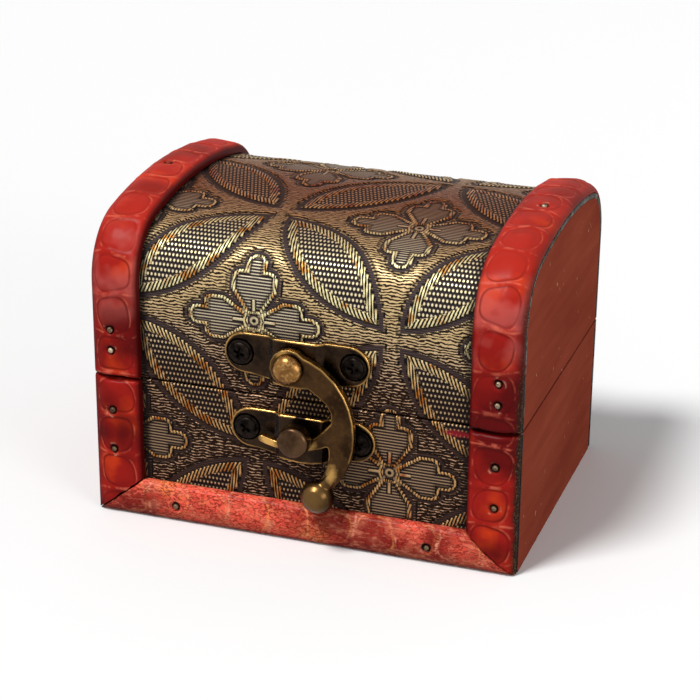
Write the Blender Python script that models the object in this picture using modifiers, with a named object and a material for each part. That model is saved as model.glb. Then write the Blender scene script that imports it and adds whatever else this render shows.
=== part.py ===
"""Small dome-lid wooden jewellery box with rounded trim strips and a swing-hook latch.

Units are metres and +Z is up. The front is at -Y, and the origin is the middle of the underside.
The box is closed, with the hook caught under its stud.
"""

import math

import bmesh
import bpy
from mathutils import Matrix, Vector

# Overall sizes, taken over the trim strips
BOX_WIDTH = 0.0800
BOX_DEPTH = 0.0610
BOX_HEIGHT = 0.0600
SHOULDER_RADIUS = 0.0130
CROWN_RADIUS = 0.0970
SEAM_HEIGHT = 0.0273
SEAM_GAP = 0.0005

# Clearance between touching pieces, and how far a cutter runs past what it cuts
FIT_GAP = 0.0003
OVERRUN = 0.0010
WELD_DISTANCE = FIT_GAP / 100

# Wall build-up, from the outside in
TRIM_THICKNESS = 0.0022
COVER_THICKNESS = 0.0005
BASE_WALL = 0.0030
LID_WALL = 0.0024
END_BOARD_THICKNESS = 0.0050
FLOOR_THICKNESS = 0.0030

# Trim strips
TRIM_WIDTH = 0.00915
BOTTOM_TRIM_WIDTH = 0.0074
TRIM_OUTER_ROUND = 0.0040
TRIM_INNER_ROUND = 0.0013
TRIM_INNER_DROP = 0.0003
TRIM_END_ROUND = 0.0008

# Trim pins, set in shallow pits. Rises and drops are from the seam, here and on the latch
PIN_RADIUS = 0.00055
PIN_HEAD_THICKNESS = 0.00040
PIT_RADIUS = 0.00090
PIT_DEPTH = 0.00065
PIN_INSET = 0.0040
LID_PIN_RISES = (0.0054, 0.0094)
BASE_PIN_DROPS = (0.0141, 0.0063)
BACK_LID_PIN_RISE = 0.0077
CROWN_PIN_DEPTH = -0.0024
BOTTOM_PIN_INSET = 0.0160
BOTTOM_PIN_HEIGHT = 0.0034

# Latch plates
PLATE_LENGTH = 0.0272
PLATE_END_RADIUS = 0.0038
PLATE_BULGE = 0.0014
PLATE_THICKNESS = 0.0009
PLATE_RISE = 0.0010
PLATE_RAISED_HALF = 0.0040
PLATE_RAMP = 0.0011
LATCH_PLATE_PLACE = -0.0008
LATCH_PLATE_RISE = 0.0082
CATCH_PLATE_PLACE = 0.0003
CATCH_PLATE_DROP = 0.0061

# Latch screws
LATCH_SCREW_SPACING = 0.0212
LATCH_SCREW_HEAD_RADIUS = 0.0023
LATCH_SCREW_HEAD_RISE = 0.0007
LATCH_SCREW_SHANK_RADIUS = 0.0011
LATCH_SCREW_LENGTH = 0.0034

# Rivet that the hook turns on
RIVET_PLACE = -0.0013
RIVET_RISE = 0.0075
RIVET_HEAD_RADIUS = 0.0028
RIVET_HEAD_RISE = 0.0019
RIVET_SHANK_RADIUS = 0.0013
RIVET_FLANGE_RADIUS = 0.0022
FLANGE_THICKNESS = 0.0006

# Stud that the hook catches on
STUD_PLACE = 0.0003
STUD_DROP = 0.0054
STUD_HEAD_RADIUS = 0.0029
STUD_HEAD_LENGTH = 0.0026
STUD_EDGE_ROUND = 0.0008
STUD_DOME_RISE = 0.0004
STUD_NECK_RADIUS = 0.0010

# Swing hook, seen from the front and measured from the rivet
HOOK_THICKNESS = 0.0016
HOOK_EDGE_ROUND = 0.00035
HOOK_HEAD_RADIUS = 0.0036
ARM_CENTRE_X = 0.0002
ARM_CENTRE_Z = -0.0115
ARM_HALF_WIDTH = 0.0120
ARM_HALF_HEIGHT = 0.0141
ARM_BREADTH = 0.0046
ARM_ANGLES = (72, 60, 45, 32, 22, 12, 0, -10, -22, -34, -46, -56)
ARM_BREADTH_SHARES = (0.98, 1.04, 0.98, 0.84, 0.80, 0.90, 1.04, 1.02, 0.88, 0.74, 0.64, 0.60)
HEAD_ARC_DEGREES = (-75, -320)
FINGER_BREADTH = 0.0014
FINGER_DEGREES = (-62, -110)
FINGER_FLARE_DEGREES = (-78, -66)
FINGER_FLARE = 0.0010
KNOB_PLACE = 0.0056
KNOB_DROP = -0.0236
KNOB_RADIUS = 0.0032
KNOB_BACK_RADIUS_SHARE = 0.68
KNOB_FRONT_RISE = 0.0046
NECK_ANGLES = (-26, -36, -46, -56)
NECK_RISES = (0.0008, 0.0011, 0.0015, 0.0020)
NECK_RADII = (0.0006, 0.0009, 0.0012, 0.0014)
NECK_END_RISE = 0.0024
NECK_END_RADIUS = 0.0019

# Butt hinges on the back
HINGE_INSET = 0.00585
HINGE_WIDTH = 0.0140
HINGE_LEAF_HEIGHT = 0.0085
HINGE_LEAF_THICKNESS = 0.0008
KNUCKLE_RADIUS = 0.0016
PIN_BORE_RADIUS = 0.0010
HINGE_PIN_RADIUS = 0.0007
HINGE_PIN_HEAD_RADIUS = 0.0012
HINGE_PIN_HEAD_LENGTH = 0.0004
MIDDLE_KNUCKLE_WIDTH = 0.0050
HINGE_SCREW_SPACING = 0.0088
HINGE_SCREW_DROP = 0.0056
HINGE_SCREW_HEAD_RADIUS = 0.0015
HINGE_SCREW_HEAD_RISE = 0.0006
HINGE_SCREW_SHANK_RADIUS = 0.0008
HINGE_SCREW_LENGTH = 0.0034

# Screw head section, from the middle outwards
HEAD_SHOULDER_SHARE = 0.7
HEAD_SHOULDER_RISE_SHARE = 0.75
HEAD_RIM_RISE_SHARE = 0.35

# Facets
SHOULDER_STEPS = 10
CROWN_STEPS = 14
TURNED_STEPS = 20
SMALL_TURNED_STEPS = 12
ROUND_STEPS = 5
END_ROUND_STEPS = 3

# Worked out from the sizes above
COVER_OFFSET = TRIM_THICKNESS + FIT_GAP
BOARD_OFFSET = COVER_OFFSET + COVER_THICKNESS + FIT_GAP
BASE_TOP = SEAM_HEIGHT - SEAM_GAP / 2
LID_BOTTOM = SEAM_HEIGHT + SEAM_GAP / 2
LID_PIN_HEIGHTS = tuple(SEAM_HEIGHT + rise for rise in LID_PIN_RISES)
BASE_PIN_HEIGHTS = tuple(SEAM_HEIGHT - drop for drop in BASE_PIN_DROPS)
BACK_LID_PIN_HEIGHT = SEAM_HEIGHT + BACK_LID_PIN_RISE
LATCH_PLATE_HEIGHT = SEAM_HEIGHT + LATCH_PLATE_RISE
CATCH_PLATE_HEIGHT = SEAM_HEIGHT - CATCH_PLATE_DROP
RIVET_HEIGHT = SEAM_HEIGHT + RIVET_RISE
STUD_HEIGHT = SEAM_HEIGHT - STUD_DROP
BETWEEN_ENDS = BOX_WIDTH / 2 - END_BOARD_THICKNESS - FIT_GAP
FRONT_SKIN = -(BOX_DEPTH / 2 - COVER_OFFSET)
BACK_SKIN = -FRONT_SKIN
PLATE_BACK = FRONT_SKIN - FIT_GAP
PLATE_FRONT = PLATE_BACK - PLATE_THICKNESS
RAISED_FRONT = PLATE_FRONT - PLATE_RISE
HOOK_BACK = RAISED_FRONT - FIT_GAP
HOOK_FRONT = HOOK_BACK - HOOK_THICKNESS
HINGE_PLACE = BOX_WIDTH / 2 - TRIM_WIDTH - HINGE_INSET - HINGE_WIDTH / 2
HINGE_AXIS_Y = BACK_SKIN + FIT_GAP + KNUCKLE_RADIUS
LEAF_BACK = BACK_SKIN + FIT_GAP
LEAF_FRONT = LEAF_BACK + HINGE_LEAF_THICKNESS
POCKET_RADIUS = LATCH_SCREW_HEAD_RADIUS + FIT_GAP
POCKET_DEPTH = PLATE_THICKNESS / 2
TRIM_SEAT = BOX_DEPTH / 2 - TRIM_THICKNESS

# Turns that lay a flat outline into each plane, and a turned piece along the depth
LYING_FLAT = Matrix.Identity(4)
FACING_FRONT = Matrix.Rotation(math.radians(90), 4, "X")
FACING_BACK = Matrix.Rotation(math.radians(-90), 4, "X")
FACING_SIDE = Matrix.Rotation(math.radians(90), 4, "Z") @ FACING_FRONT
REAR_WALL = Matrix.Rotation(math.radians(180), 4, "Z") @ FACING_FRONT

FINISHES = {
    "end_wood": ((0.160, 0.035, 0.022), 0.45, 0.0),
    "inner_wood": ((0.090, 0.030, 0.018), 0.60, 0.0),
    "brocade": ((0.240, 0.150, 0.060), 0.40, 0.5),
    "red_trim": ((0.380, 0.020, 0.012), 0.30, 0.0),
    "antique_brass": ((0.110, 0.075, 0.035), 0.38, 1.0),
    "rubbed_brass": ((0.300, 0.180, 0.060), 0.32, 1.0),
    "dark_screw": ((0.030, 0.026, 0.024), 0.45, 1.0),
    "steel_pin": ((0.500, 0.480, 0.450), 0.35, 1.0),
}


def clear_scene():
    """Removes what the scene holds at the start."""
    for obj in list(bpy.data.objects):
        bpy.data.objects.remove(obj)


def make_collection(name):
    """A new collection in the scene."""
    collection = bpy.data.collections.new(name)
    bpy.context.scene.collection.children.link(collection)
    return collection


def finish_material(name):
    """The material of one finish, made once."""
    if name in bpy.data.materials:
        return bpy.data.materials[name]
    colour, roughness, metallic = FINISHES[name]
    material = bpy.data.materials.new(name)
    material.use_nodes = True
    shader = material.node_tree.nodes["Principled BSDF"]
    shader.inputs["Base Color"].default_value = (*colour, 1)
    shader.inputs["Roughness"].default_value = roughness
    shader.inputs["Metallic"].default_value = metallic
    return material


def arc(centre, radius, start, end, steps):
    """Points on an arc of a circle, with the angles in degrees."""
    points = []
    for step in range(steps + 1):
        angle = math.radians(start + (end - start) * step / steps)
        points.append((centre[0] + radius * math.cos(angle), centre[1] + radius * math.sin(angle)))
    return points


def ring(centre, radius):
    """A round hole's outline."""
    return arc(centre, radius, 0, 360, SMALL_TURNED_STEPS)[:-1]


def box_outline(low_u, low_v, high_u, high_v):
    """A rectangle as an outline."""
    return [(low_u, low_v), (high_u, low_v), (high_u, high_v), (low_u, high_v)]


def arch_line(offset, foot):
    """The box's end outline, moved in by an offset: up the front, over the crown, down the back.

    It is a list of (depth, height), which starts and ends at the foot height.
    """
    shoulder_y = BOX_DEPTH / 2 - SHOULDER_RADIUS
    crown_z = BOX_HEIGHT - CROWN_RADIUS
    shoulder_z = crown_z + math.sqrt((CROWN_RADIUS - SHOULDER_RADIUS) ** 2 - shoulder_y**2)
    tangent = math.degrees(math.atan2(shoulder_z - crown_z, -shoulder_y))
    radius = SHOULDER_RADIUS - offset
    half = [(-(BOX_DEPTH / 2 - offset), foot)]
    half += arc((-shoulder_y, shoulder_z), radius, 180, tangent, SHOULDER_STEPS)
    half += arc((0, crown_z), CROWN_RADIUS - offset, tangent, 90, CROWN_STEPS)[1:]
    return half + [(-y, z) for y, z in reversed(half[:-1])]


def at(across, depth, height, turn=LYING_FLAT):
    """The matrix of a place and a turn."""
    return Matrix.Translation((across, depth, height)) @ turn


def object_from_mesh(name, mesh, collection):
    """A new object in a collection."""
    obj = bpy.data.objects.new(name, mesh)
    collection.objects.link(obj)
    return obj


def mesh_of(obj):
    """The object's evaluated mesh, welded, with faces outwards. The object is removed."""
    bpy.context.view_layer.update()
    graph = bpy.context.evaluated_depsgraph_get()
    mesh = bpy.data.meshes.new_from_object(obj.evaluated_get(graph))
    bpy.data.objects.remove(obj)
    work = bmesh.new()
    work.from_mesh(mesh)
    bmesh.ops.remove_doubles(work, verts=work.verts, dist=WELD_DISTANCE)
    bmesh.ops.recalc_face_normals(work, faces=work.faces)
    work.to_mesh(mesh)
    work.free()
    return mesh


def add_loop(curve, points, closed):
    """Adds one straight-sided spline to a flat curve."""
    spline = curve.splines.new("POLY")
    spline.points.add(len(points) - 1)
    for point, (u, v) in zip(spline.points, points):
        point.co = (u, v, 0, 1)
    spline.use_cyclic_u = closed


def flat_mesh(loops, thickness):
    """A flat outline with its holes, filled and given a thickness about its own plane."""
    curve = bpy.data.curves.new("outline", "CURVE")
    curve.dimensions = "2D"
    curve.fill_mode = "BOTH"
    curve.extrude = thickness / 2
    for points in loops:
        add_loop(curve, points, True)
    return mesh_of(object_from_mesh("outline", curve, bpy.context.scene.collection))


def swept_mesh(path, section):
    """A closed section carried along a path that lies in one plane, with capped ends.

    The section's points are (to the left of the path's way, up from its plane).
    """
    scene = bpy.context.scene.collection
    section_curve = bpy.data.curves.new("section", "CURVE")
    section_curve.dimensions = "2D"
    add_loop(section_curve, [(-left, up) for left, up in section], True)
    section_object = object_from_mesh("section", section_curve, scene)
    curve = bpy.data.curves.new("path", "CURVE")
    curve.dimensions = "2D"
    curve.bevel_mode = "OBJECT"
    curve.bevel_object = section_object
    curve.use_fill_caps = True
    add_loop(curve, path, False)
    mesh = mesh_of(object_from_mesh("path", curve, scene))
    bpy.data.objects.remove(section_object)
    return mesh


def turned_mesh(profile, steps):
    """A profile of (radius, height), from top to bottom, turned about the vertical axis."""
    mesh = bpy.data.meshes.new("profile")
    points = [(radius, 0, height) for radius, height in profile]
    edges = [(index, index + 1) for index in range(len(points) - 1)]
    mesh.from_pydata(points, edges, [])
    obj = object_from_mesh("profile", mesh, bpy.context.scene.collection)
    screw = obj.modifiers.new("turn", "SCREW")
    screw.steps = steps
    screw.render_steps = steps
    screw.use_merge_vertices = True
    screw.merge_threshold = WELD_DISTANCE
    return mesh_of(obj)


def grouped_mesh(mesh, places):
    """Copies of one mesh at each place, as separate solids in one mesh."""
    work = bmesh.new()
    for place in places:
        copy = mesh.copy()
        copy.transform(place)
        work.from_mesh(copy)
        bpy.data.meshes.remove(copy)
    group = bpy.data.meshes.new("group")
    work.to_mesh(group)
    work.free()
    return group


def shade(mesh):
    """Smooth shading that keeps the sharp edges."""
    mesh.shade_smooth()
    mesh.set_sharp_from_angle(angle=math.radians(35))


def cut_by_plane(mesh, point, normal):
    """Cuts away what lies on the normal's side of a plane, and closes the cut."""
    work = bmesh.new()
    work.from_mesh(mesh)
    geometry = work.verts[:] + work.edges[:] + work.faces[:]
    cut = bmesh.ops.bisect_plane(work, geom=geometry, plane_co=point, plane_no=normal, clear_outer=True)
    rim = [item for item in cut["geom_cut"] if isinstance(item, bmesh.types.BMEdge)]
    bmesh.ops.contextual_create(work, geom=rim)
    bmesh.ops.recalc_face_normals(work, faces=work.faces)
    work.to_mesh(mesh)
    work.free()


def trim_section(width):
    """The strip's half-round section: (height over its seat, distance in from its outer edge)."""
    crown = TRIM_THICKNESS
    inner_top = crown - TRIM_INNER_DROP
    section = [(0, 0)]
    for step in range(1, ROUND_STEPS + 1):
        angle = math.radians(90 * step / ROUND_STEPS)
        rise = crown * math.sin(angle)
        section.append((rise, TRIM_OUTER_ROUND * (1 - math.cos(angle))))
    for step in range(ROUND_STEPS):
        angle = math.radians(90 * step / (ROUND_STEPS - 1))
        fall = TRIM_INNER_ROUND * (1 - math.cos(angle))
        section.append((inner_top - fall, width - TRIM_INNER_ROUND * (1 - math.sin(angle))))
    return section + [(0, width)]


class Builder:
    """Makes the pieces, and keeps the collections and pivots that they belong to."""

    def __init__(self):
        self.parts = make_collection("wooden_jewelry_box")
        self.cutters = make_collection("cutters")
        hinge_axis = Vector((0, HINGE_AXIS_Y, SEAM_HEIGHT))
        rivet_axis = Vector((RIVET_PLACE, HOOK_BACK, RIVET_HEIGHT))
        self.pivots = {"base": self.pivot("base_origin", Vector((0, 0, 0)))}
        self.pivots["lid"] = self.pivot("lid_pivot", hinge_axis)
        self.pivots["hook"] = self.pivot("hook_pivot", rivet_axis)

    def pivot(self, name, place):
        """An empty on a joint's axis."""
        empty = bpy.data.objects.new(name, None)
        empty.location = place
        self.parts.objects.link(empty)
        return empty

    def piece(self, name, mesh, finish, body, where):
        """One named piece, placed by a matrix and riding with a body."""
        if not mesh.materials:
            mesh.name = name
            mesh.materials.append(finish_material(finish))
            shade(mesh)
        obj = object_from_mesh(name, mesh, self.parts)
        parent = self.pivots[body]
        obj.parent = parent
        obj.matrix_parent_inverse = Matrix.Translation(-parent.location)
        obj.matrix_basis = where
        return obj

    def cutter(self, name, mesh, where):
        """A helper solid, which isn't part of the model."""
        obj = object_from_mesh(name, mesh, self.cutters)
        obj.matrix_basis = where
        obj.hide_render = True
        obj.display_type = "WIRE"
        return obj

    def combine(self, obj, other, operation):
        """Adds a Boolean modifier."""
        modifier = obj.modifiers.new(other.name, "BOOLEAN")
        modifier.operation = operation
        modifier.solver = "EXACT"
        modifier.object = other


def screw_places(spacing, centres, height):
    """The (across, height) of a pair of screws about each centre."""
    return [(centre + side * spacing / 2, height) for centre in centres for side in (-1, 1)]


def latch_screw_points():
    """Where the latch plate's and the catch plate's screws go."""
    upper = screw_places(LATCH_SCREW_SPACING, [LATCH_PLATE_PLACE], LATCH_PLATE_HEIGHT)
    lower = screw_places(LATCH_SCREW_SPACING, [CATCH_PLATE_PLACE], CATCH_PLATE_HEIGHT)
    return upper, lower


def hinge_screw_points():
    """Where the lid leaves' and the base leaves' screws go."""
    centres = (-HINGE_PLACE, HINGE_PLACE)
    upper = screw_places(HINGE_SCREW_SPACING, centres, SEAM_HEIGHT + HINGE_SCREW_DROP)
    lower = screw_places(HINGE_SCREW_SPACING, centres, SEAM_HEIGHT - HINGE_SCREW_DROP)
    return upper, lower


def drill(builder, name, points, radius, near, far):
    """One cutter of round holes along the depth, from near to far."""
    length = far - near
    profile = [(0, length), (radius, length), (radius, 0), (0, 0)]
    mesh = turned_mesh(profile, SMALL_TURNED_STEPS)
    places = [at(across, near, height, FACING_BACK) for across, height in points]
    return builder.cutter(name, grouped_mesh(mesh, places), LYING_FLAT)


def make_drills(builder):
    """The screw holes' cutters, by the wall that they go through."""
    latch_upper, latch_lower = latch_screw_points()
    hinge_upper, hinge_lower = hinge_screw_points()
    latch_radius = LATCH_SCREW_SHANK_RADIUS + FIT_GAP
    hinge_radius = HINGE_SCREW_SHANK_RADIUS + FIT_GAP
    front = PLATE_FRONT - OVERRUN
    front_end = PLATE_FRONT + LATCH_SCREW_LENGTH + FIT_GAP
    back = LEAF_FRONT + OVERRUN
    back_end = LEAF_FRONT - HINGE_SCREW_LENGTH - FIT_GAP
    return {
        "lid_front": drill(builder, "latch_plate_drill", latch_upper, latch_radius, front, front_end),
        "base_front": drill(builder, "catch_plate_drill", latch_lower, latch_radius, front, front_end),
        "lid_back": drill(builder, "lid_leaf_drill", hinge_upper, hinge_radius, back_end, back),
        "base_back": drill(builder, "base_leaf_drill", hinge_lower, hinge_radius, back_end, back),
    }


def make_base_boards(builder, drills):
    """The open-topped carcass: two end boards, a front, a back and a floor between them."""
    half_depth = BOX_DEPTH / 2 - BOARD_OFFSET
    end_outline = box_outline(-half_depth, 0, half_depth, BASE_TOP)
    for name, side in (("left", -1), ("right", 1)):
        mesh = flat_mesh([end_outline], END_BOARD_THICKNESS)
        where = at(side * (BOX_WIDTH - END_BOARD_THICKNESS) / 2, 0, 0, FACING_SIDE)
        builder.piece(f"base_{name}_end_board", mesh, "end_wood", "base", where)
    wall_outline = box_outline(-BETWEEN_ENDS, 0, BETWEEN_ENDS, BASE_TOP)
    for name, side, drilled in (("front", -1, "base_front"), ("back", 1, "base_back")):
        where = at(0, side * (half_depth - BASE_WALL / 2), 0, FACING_FRONT)
        mesh = flat_mesh([wall_outline], BASE_WALL)
        wall = builder.piece(f"base_{name}_board", mesh, "inner_wood", "base", where)
        builder.combine(wall, drills[drilled], "DIFFERENCE")
    floor_depth = half_depth - BASE_WALL - FIT_GAP
    floor_outline = box_outline(-BETWEEN_ENDS, -floor_depth, BETWEEN_ENDS, floor_depth)
    floor = flat_mesh([floor_outline], FLOOR_THICKNESS)
    builder.piece("base_floor_board", floor, "inner_wood", "base", at(0, 0, FLOOR_THICKNESS / 2))


def make_base_covers(builder, drills):
    """The embossed sheets glued to the base's front and back, trimmed just clear of the table."""
    outline = box_outline(-BOX_WIDTH / 2, FIT_GAP, BOX_WIDTH / 2, BASE_TOP)
    for name, side, drilled in (("front", -1, "base_front"), ("back", 1, "base_back")):
        where = at(0, side * (BACK_SKIN - COVER_THICKNESS / 2), 0, FACING_FRONT)
        mesh = flat_mesh([outline], COVER_THICKNESS)
        cover = builder.piece(f"base_{name}_cover", mesh, "brocade", "base", where)
        builder.combine(cover, drills[drilled], "DIFFERENCE")


def make_lid_shell(builder, drills):
    """The lid's arched end boards, the bent board between them and the cover over all."""
    for name, side in (("left", -1), ("right", 1)):
        mesh = flat_mesh([arch_line(BOARD_OFFSET, LID_BOTTOM)], END_BOARD_THICKNESS)
        where = at(side * (BOX_WIDTH - END_BOARD_THICKNESS) / 2, 0, 0, FACING_SIDE)
        builder.piece(f"lid_{name}_end_board", mesh, "end_wood", "lid", where)
    shells = (
        ("lid_curved_board", "inner_wood", BOARD_OFFSET, LID_WALL, 2 * BETWEEN_ENDS),
        ("lid_cover", "brocade", COVER_OFFSET, COVER_THICKNESS, BOX_WIDTH),
    )
    for name, finish, offset, wall, width in shells:
        outer = arch_line(offset, LID_BOTTOM)
        inner = arch_line(offset + wall, LID_BOTTOM)
        mesh = flat_mesh([outer + inner[::-1]], width)
        shell = builder.piece(name, mesh, finish, "lid", FACING_SIDE)
        builder.combine(shell, drills["lid_front"], "DIFFERENCE")
        builder.combine(shell, drills["lid_back"], "DIFFERENCE")


def round_strip_end(mesh, height, inwards):
    """Rounds a strip off where it ends at a height, as padding that is tucked in.

    Inwards is 1 for an end that the strip rises from, and -1 for one that it stops under.
    """
    work = bmesh.new()
    work.from_mesh(mesh)
    for step in range(1, END_ROUND_STEPS + 1):
        reach = TRIM_END_ROUND * (1 - math.cos(math.radians(90 * step / END_ROUND_STEPS)))
        level = Vector((0, height + inwards * reach, 0))
        geometry = work.verts[:] + work.edges[:] + work.faces[:]
        bmesh.ops.bisect_plane(work, geom=geometry, plane_co=level, plane_no=Vector((0, 1, 0)))
    for vertex in work.verts:
        short = TRIM_END_ROUND - (vertex.co.y - height) * inwards
        if short > 0:
            fall = TRIM_END_ROUND - math.sqrt(max(0, TRIM_END_ROUND**2 - short**2))
            rise = (abs(vertex.co.x) - TRIM_SEAT) * (1 - fall / TRIM_THICKNESS)
            vertex.co.x = math.copysign(TRIM_SEAT + rise, vertex.co.x)
    work.to_mesh(mesh)
    work.free()


def pit_cutter(builder, name, places):
    """One cutter of all the pits in a strip, each on the crown with its axis outwards."""
    profile = [(0, OVERRUN), (PIT_RADIUS, OVERRUN), (PIT_RADIUS, -PIT_DEPTH), (0, -PIT_DEPTH)]
    mesh = turned_mesh(profile, SMALL_TURNED_STEPS)
    return builder.cutter(name, grouped_mesh(mesh, places), LYING_FLAT)


def wall_pin(face, across, height):
    """A pin's place on an upright crown: the front is face -1, and the back is face 1."""
    return at(across, face * BOX_DEPTH / 2, height, FACING_FRONT if face < 0 else FACING_BACK)


def crown_pin(across):
    """A pin's place on the lid's crown."""
    height = BOX_HEIGHT - CROWN_RADIUS + math.sqrt(CROWN_RADIUS**2 - CROWN_PIN_DEPTH**2)
    lean = Matrix.Rotation(-math.asin(CROWN_PIN_DEPTH / CROWN_RADIUS), 4, "X")
    return at(across, CROWN_PIN_DEPTH, height, lean)


def pin_mesh():
    """A pin's domed head, which sits in its pit."""
    low = FIT_GAP - PIT_DEPTH
    profile = dome(PIN_RADIUS, PIN_HEAD_THICKNESS, low, END_ROUND_STEPS)
    return turned_mesh(profile + [(0, low)], SMALL_TURNED_STEPS)


def add_pins(builder, strip, body, places):
    """Cuts a strip's pits and sets its pins in them. The places are named."""
    builder.combine(strip, pit_cutter(builder, f"{strip.name}_pits", places.values()), "DIFFERENCE")
    mesh = pin_mesh()
    for name, where in places.items():
        builder.piece(f"{body}_nail_{name}", mesh, "steel_pin", body, where)


def make_lid_trim(builder):
    """The two rounded strips that run up the front, over the lid and down the back."""
    low, high = LID_PIN_HEIGHTS
    for name, side in (("left", -1), ("right", 1)):
        section = [(rise, -side * inset) for rise, inset in trim_section(TRIM_WIDTH)]
        mesh = swept_mesh(arch_line(TRIM_THICKNESS, LID_BOTTOM), section)
        round_strip_end(mesh, LID_BOTTOM, 1)
        where = at(side * BOX_WIDTH / 2, 0, 0, FACING_SIDE)
        strip = builder.piece(f"lid_trim_{name}", mesh, "red_trim", "lid", where)
        across = side * (BOX_WIDTH / 2 - PIN_INSET)
        places = {
            f"front_{name}_low": wall_pin(-1, across, low),
            f"front_{name}_high": wall_pin(-1, across, high),
            f"crown_{name}": crown_pin(across),
            f"back_{name}": wall_pin(1, across, BACK_LID_PIN_HEIGHT),
        }
        add_pins(builder, strip, "lid", places)


def make_base_trim(builder):
    """The upright strips and the mitred bottom strip on the base's front and back."""
    low, high = BASE_PIN_HEIGHTS
    for face_name, face in (("front", -1), ("back", 1)):
        for name, side in (("left", -1), ("right", 1)):
            mesh = upright_strip(side, face)
            where = at(side * BOX_WIDTH / 2, 0, 0, FACING_SIDE)
            strip = builder.piece(f"base_trim_{face_name}_{name}", mesh, "red_trim", "base", where)
            across = side * (BOX_WIDTH / 2 - PIN_INSET)
            places = {f"{face_name}_{name}_low": wall_pin(face, across, low)}
            if face < 0:
                places[f"{face_name}_{name}_high"] = wall_pin(face, across, high)
            add_pins(builder, strip, "base", places)
        where = at(0, face * TRIM_SEAT, 0, FACING_FRONT if face < 0 else REAR_WALL)
        strip = builder.piece(f"base_trim_{face_name}_bottom", bottom_strip(), "red_trim", "base", where)
        places = {
            f"{face_name}_bottom_left": wall_pin(face, BOTTOM_PIN_INSET - BOX_WIDTH / 2, BOTTOM_PIN_HEIGHT),
            f"{face_name}_bottom_right": wall_pin(face, BOX_WIDTH / 2 - BOTTOM_PIN_INSET, BOTTOM_PIN_HEIGHT),
        }
        add_pins(builder, strip, "base", places)


def mitre_normal():
    """The in-plane normal of the mitre, from the box's bottom corner to the panel's corner."""
    return Vector((BOTTOM_TRIM_WIDTH, TRIM_WIDTH)).normalized()


def upright_strip(side, face):
    """An upright strip, with its foot cut to the mitre. Its own axes are depth, height, width."""
    if face < 0:
        path = [(-TRIM_SEAT, 0), (-TRIM_SEAT, BASE_TOP)]
    else:
        path = [(TRIM_SEAT, BASE_TOP), (TRIM_SEAT, 0)]
    mesh = swept_mesh(path, [(rise, -side * inset) for rise, inset in trim_section(TRIM_WIDTH)])
    round_strip_end(mesh, BASE_TOP, -1)
    normal = mitre_normal()
    cut = Vector((0, normal.y, side * normal.x))
    cut_by_plane(mesh, cut * (FIT_GAP / 2), -cut)
    return mesh


def bottom_strip():
    """The bottom strip with both ends mitred. Its own axes are width, height and outwards."""
    half = BOX_WIDTH / 2
    section = [(inset, rise) for rise, inset in trim_section(BOTTOM_TRIM_WIDTH)]
    mesh = swept_mesh([(-half, 0), (half, 0)], section)
    normal = mitre_normal()
    for side in (-1, 1):
        cut = Vector((side * normal.x, normal.y, 0))
        cut_by_plane(mesh, Vector((side * half, 0, 0)) - cut * (FIT_GAP / 2), cut)
    return mesh


def plate_outline():
    """The plate seen from the front: a straight top, round ends and a bottom that swells."""
    end = PLATE_LENGTH / 2 - PLATE_END_RADIUS
    outline = arc((end, 0), PLATE_END_RADIUS, 90, -80, ROUND_STEPS * 2)
    corner_u, corner_v = outline[-1]
    steps = ROUND_STEPS * 2
    for step in range(1, steps):
        share = 1 - 2 * step / steps
        swell = PLATE_BULGE * (math.cos(math.pi * share) + 1) / 2
        outline.append((corner_u * share, corner_v - swell))
    outline += arc((-end, 0), PLATE_END_RADIUS, 260, 90, ROUND_STEPS * 2)
    return outline


def joggle_outline():
    """The plate seen from above: raised by a step over its middle."""
    half = PLATE_LENGTH / 2 + OVERRUN
    foot = PLATE_RAISED_HALF + PLATE_RAMP
    back = [(-half, 0), (-foot, 0), (-PLATE_RAISED_HALF, -PLATE_RISE)]
    back += [(PLATE_RAISED_HALF, -PLATE_RISE), (foot, 0), (half, 0)]
    front = [(u, v - PLATE_THICKNESS) for u, v in back]
    return back + front[::-1]


def make_plate(builder, name, body, place, hole):
    """A latch plate: the joggled sheet kept inside its drilled outline, with sunk screw seats."""
    across, height = place
    tall = PLATE_END_RADIUS + PLATE_BULGE + OVERRUN
    deep = PLATE_RISE + PLATE_THICKNESS + OVERRUN
    sheet = flat_mesh([joggle_outline()], 2 * tall)
    plate = builder.piece(name, sheet, "antique_brass", body, at(across, PLATE_BACK, height))
    hole_across, hole_height, hole_radius = hole
    holes = [ring((hole_across - across, hole_height - height), hole_radius)]
    for side in (-1, 1):
        holes.append(ring((side * LATCH_SCREW_SPACING / 2, 0), LATCH_SCREW_SHANK_RADIUS + FIT_GAP))
    blank = flat_mesh([plate_outline()] + holes, 2 * deep)
    where = at(across, PLATE_BACK, height, FACING_FRONT)
    builder.combine(plate, builder.cutter(f"{name}_blank", blank, where), "INTERSECT")
    points = screw_places(LATCH_SCREW_SPACING, [across], height)
    near = PLATE_FRONT - OVERRUN
    seats = drill(builder, f"{name}_seats", points, POCKET_RADIUS, near, PLATE_FRONT + POCKET_DEPTH)
    builder.combine(plate, seats, "DIFFERENCE")


def screw_profile(head_radius, head_rise, shank_radius, length):
    """A domed screw head on a plain shank. The head's seat is at height 0."""
    profile = [(0, head_rise)]
    profile += [(head_radius * HEAD_SHOULDER_SHARE, head_rise * HEAD_SHOULDER_RISE_SHARE)]
    profile += [(head_radius, head_rise * HEAD_RIM_RISE_SHARE), (head_radius, 0)]
    return profile + [(shank_radius, 0), (shank_radius, shank_radius - length), (0, -length)]


def make_screws(builder, names, body, points, profile, depth, turn):
    """Like screws with their heads' seats at one depth."""
    mesh = turned_mesh(profile, SMALL_TURNED_STEPS)
    for name, (across, height) in zip(names, points):
        builder.piece(name, mesh, "dark_screw", body, at(across, depth, height, turn))


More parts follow.
